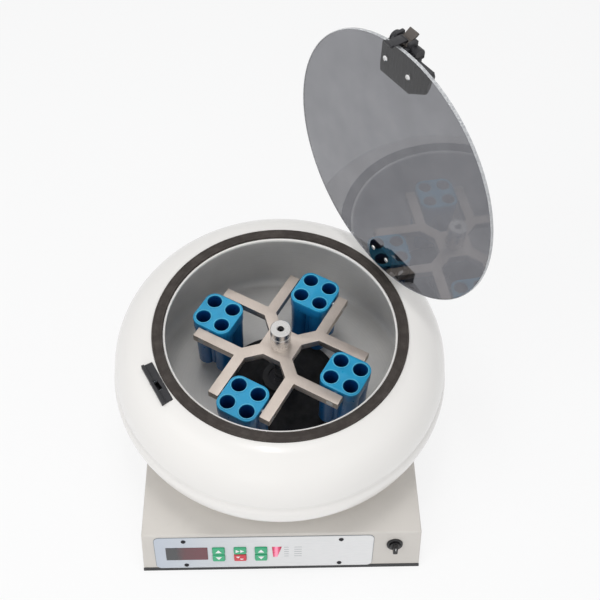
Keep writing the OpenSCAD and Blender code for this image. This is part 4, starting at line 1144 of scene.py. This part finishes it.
FIRST_RIB, RIB_PITCH, RIBS = -43, 7.4, 12
for i in range(RIBS):
    y = FIRST_RIB + RIB_PITCH * i
    inner = -163 if y > -15 else -163 + 0.66 * (y + 15)
    ribs.append(solid_block("rib", -214, inner, y, y + 2.6, 322.1, 323.2, 0.3, LID, 2))
dress(joined("latch_ribs", ribs), RIB_GREY, "lid", "latch_black")

LPIN = (-220.0, 334.0)
HOOK_Y = (LATCH_T - 7.5, LATCH_T + 7.5)
lever_hub = [(3.06, 0), (5.4, 0), (6, 0.6), (6, 20.4), (5.4, 21), (3.06, 21)]
TAB = LID @ shift(LPIN[0], LATCH_T - 9, LPIN[1]) @ turn(-128, "Y")
lever = [turned_form("lever_hub", lever_hub, LEVER_BROWN, 48,
                     matrix=LID @ along_y(*LPIN, LATCH_T - 10.5)),
         solid_block("lever_tab", 4.5, 20, 0, 18, -2.2, 2.2, 1.0, TAB, 3),
         solid_block("lever_root", 3.4, 9, 2, 16, -1.8, 1.8, 0.6, TAB, 2)]
hook = [solid_block("lever_arm", -229.2, -223, *HOOK_Y, 328.5, 333, 0.7, LID),
         solid_block("lever_blade", -229.2, -227.2, *HOOK_Y, 303, 332, 0.6, LID),
         solid_block("lever_barb", -231.5, -228.2, *HOOK_Y, 303, 308, 0.7, LID)]
for i in range(4):
    lever.append(solid_block("lever_grip", 10 + 2.4 * i, 11 + 2.4 * i, 1.5, 16.5, -2.35, 2.35,
                             0.15, TAB, 1))
dress(joined("thumb_lever", lever), LEVER_BROWN, "latch", "lever_brown", "latch_lever")
dress(joined("lever_hook", hook), BLACK, "latch", "lever_brown")

# %% [markdown]
# The catch is a black block let into the dome beside the gasket. A ridge runs along its outer
# edge, and its pocket takes the lever's hook. The pocket is cut from the block and the dome
# with one box, and small teeth at its two ends leave the hook its room.

# %% Catch
CATCH_Y = (-41.6, 38.6)
ROOM, MOUTH = [(-0.0069, reach, -0.0105, 0.0105, -0.0185, top)
               for reach, top in ((0.0010, 0.013), (0.0032, -0.006))]
parts = [solid_block("catch_body", 1.4, 20.6, *CATCH_Y, -16, -0.6, 0.7, CATCH),
         solid_block("catch_ridge", 15.6, 20.6, *CATCH_Y, -3, 2.8, 1.0, CATCH),
         solid_block("catch_bead", 11.6, 13.0, -40, 37, -1.2, 0.1, 0.3, CATCH, 2),
         solid_block("pocket_wall", -9, 4.6, -12.3, 12.3, -20.4, -4, 0.5, HOOK)]
block = cut_away(joined("catch_block", parts), [(ROOM, HOOK_METRES), (MOUTH, HOOK_METRES)], [])
block = shade(block)
dress(block, BLACK, "base", "latch_black", "catch")
teeth = [solid_block("tooth", x, x + 1.2, y, y + 1.7, -7, -1.4, 0.3, HOOK, 2)
         for x in (-6.2, -3.6, -1.0) for y in (-10.3, 8.6)]
dress(joined("catch_teeth", teeth), PLAIN_GREY, "base", "latch_black")

# %% [markdown]
# The rest of the nodes already have the right shape, so each keeps it and takes a finish of its
# own. Their meshes aren't touched.

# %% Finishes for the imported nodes
KEPT = {"base_tray": TRAY_PAINT, "display_module": BLACK, "control_board": BOARD,
        "key_switches": BLACK, "drive_unit": CAST_ALU, "mains_inlet": BLACK,
        "inlet_pins": PIN_BRASS, "fuse_holder": BLACK, "motor_plate": ZINC,
        "rubber_mounts": BOOT_RUBBER, "mount_studs": ZINC, "motor_housing": ENAMEL,
        "motor_stator": COPPER, "bearings": DARK_STEEL, "spindle_housing": TRAY_PAINT,
        "bowl_pedestal": CAST_IRON, "bowl_bolts": ZINC, "casing_bolts": ZINC, "lid_switch": BLACK,
        "hinge_bracket": BLACK, "hinge_bolts": ZINC, "hinge_pin": GROUND, "spindle": GROUND,
        "armature": CORE, "hub_screw": DARK_STEEL, "trunnion_pins": BRIGHT, "latch_pin": GROUND}
for name, finish in KEPT.items():
    node = nodes[name]
    node.data.materials.clear()
    node.data.materials.append(finish)
print("packed nodes with finishes", len(KEPT))

# %% [markdown]
# The floor is plain and pale. What the camera, glass and metal see of the world is white, but
# the light that reaches the object stays at a plain level, so colours come out as written.

# %% Floor and world
FLOOR_GREY, FLOOR_SHARE, SOFT_SKY = (0.86, 0.86, 0.86), 0.8, (0.97, 0.98, 1.0)
WHITE_SKY, SOFT_STRENGTH = (1, 1, 1), 0.55
floor = mesh_from("floor", [(-6, -6, 0), (6, -6, 0), (6, 6, 0), (-6, 6, 0)], [(0, 1, 2, 3)])
ground = bpy.data.materials.new("pale floor")


def bare_tree(data):
    data.use_nodes = True
    data.node_tree.nodes.clear()
    return data.node_tree


def seen_rays(tree):
    """1 for the rays that see the studio: the camera's, and those off metal or through glass."""
    path = add(tree, "ShaderNodeLightPath").outputs
    seen = calc(tree, "MAXIMUM", path["Is Camera Ray"], path["Is Glossy Ray"])
    return calc(tree, "MAXIMUM", seen, path["Is Transmission Ray"])


tree = bare_tree(ground)
matt = add(tree, "ShaderNodeBsdfDiffuse", Color=FLOOR_GREY)
glow = add(tree, "ShaderNodeEmission", Color=WHITE_SKY)
share = calc(tree, "MULTIPLY", seen_rays(tree), FLOOR_SHARE)
mix = add(tree, "ShaderNodeMixShader", share, matt.outputs[0], glow.outputs[0])
add(tree, "ShaderNodeOutputMaterial", Surface=mix.outputs[0])
floor.data.materials.append(ground)

world = bpy.data.worlds.new("studio")
bpy.context.scene.world = world
tree = bare_tree(world)
soft = add(tree, "ShaderNodeBackground", Color=SOFT_SKY, Strength=SOFT_STRENGTH)
seen = add(tree, "ShaderNodeBackground", Color=WHITE_SKY, Strength=1.0)
mix = add(tree, "ShaderNodeMixShader", seen_rays(tree), soft.outputs[0], seen.outputs[0])
add(tree, "ShaderNodeOutputWorld", Surface=mix.outputs[0])
print("floor and world ready")

# %% [markdown]
# Four broad lamps light the object and stay out of its mirrors. A fifth, the narrow strip
# above, is the only one that shows in glass and metal. The camera was fitted to the object's
# own outline, and its angles are in radians.

# %% Lamps and camera


def soft_box(name, at, aim, size, watts, mirrored):
    light = bpy.data.lights.new(name, "AREA")
    light.shape, light.size, light.size_y, light.energy = "RECTANGLE", size[0], size[1], watts
    obj = to_object(name, light)
    obj.location = at
    obj.rotation_euler = (Vector(aim) - Vector(at)).to_track_quat("-Z", "Y").to_euler()
    obj.visible_glossy = mirrored


LAMPS = (("key", (-1.9, -1.1, 2.5), (0, 0, 0.25), (1.6, 1.6), 20, False),
         ("above", (0, 0.1, 2.7), (0, 0, 0.2), (0.9, 0.9), 13, False),
         ("fill", (1.8, -1.9, 1.7), (0, 0, 0.25), (1.6, 1.6), 8, False),
         ("front", (-0.6, -2.6, 0.8), (0, -0.3, 0.1), (1.2, 0.8), 11, False),
         ("strip", (-0.10, -0.13, 2.3), (-0.10, -0.13, 0), (0.10, 0.5), 3, True))
for lamp in LAMPS:
    soft_box(*lamp)

EYE, LENS, SENSOR = (-0.01615, -0.86057, 1.557), 54, 36
PITCH, YAW, ROLL = 0.93391, 0.054434, 0.036487
camera = to_object("camera", bpy.data.cameras.new("camera"))
level = math.cos(PITCH)
ahead = Vector((math.sin(YAW) * level, math.cos(YAW) * level, -math.sin(PITCH)))
right = Vector((math.cos(YAW), -math.sin(YAW), 0))
upward = right.cross(ahead)
x_axis = math.cos(ROLL) * right + math.sin(ROLL) * upward
y_axis = -math.sin(ROLL) * right + math.cos(ROLL) * upward
tilt = Matrix((x_axis, y_axis, -ahead)).transposed().to_4x4()
camera.matrix_world = Matrix.Translation(EYE) @ tilt
camera.data.sensor_width, camera.data.lens = SENSOR, LENS
bpy.context.scene.camera = camera
bpy.context.scene.view_settings.view_transform = "Standard"
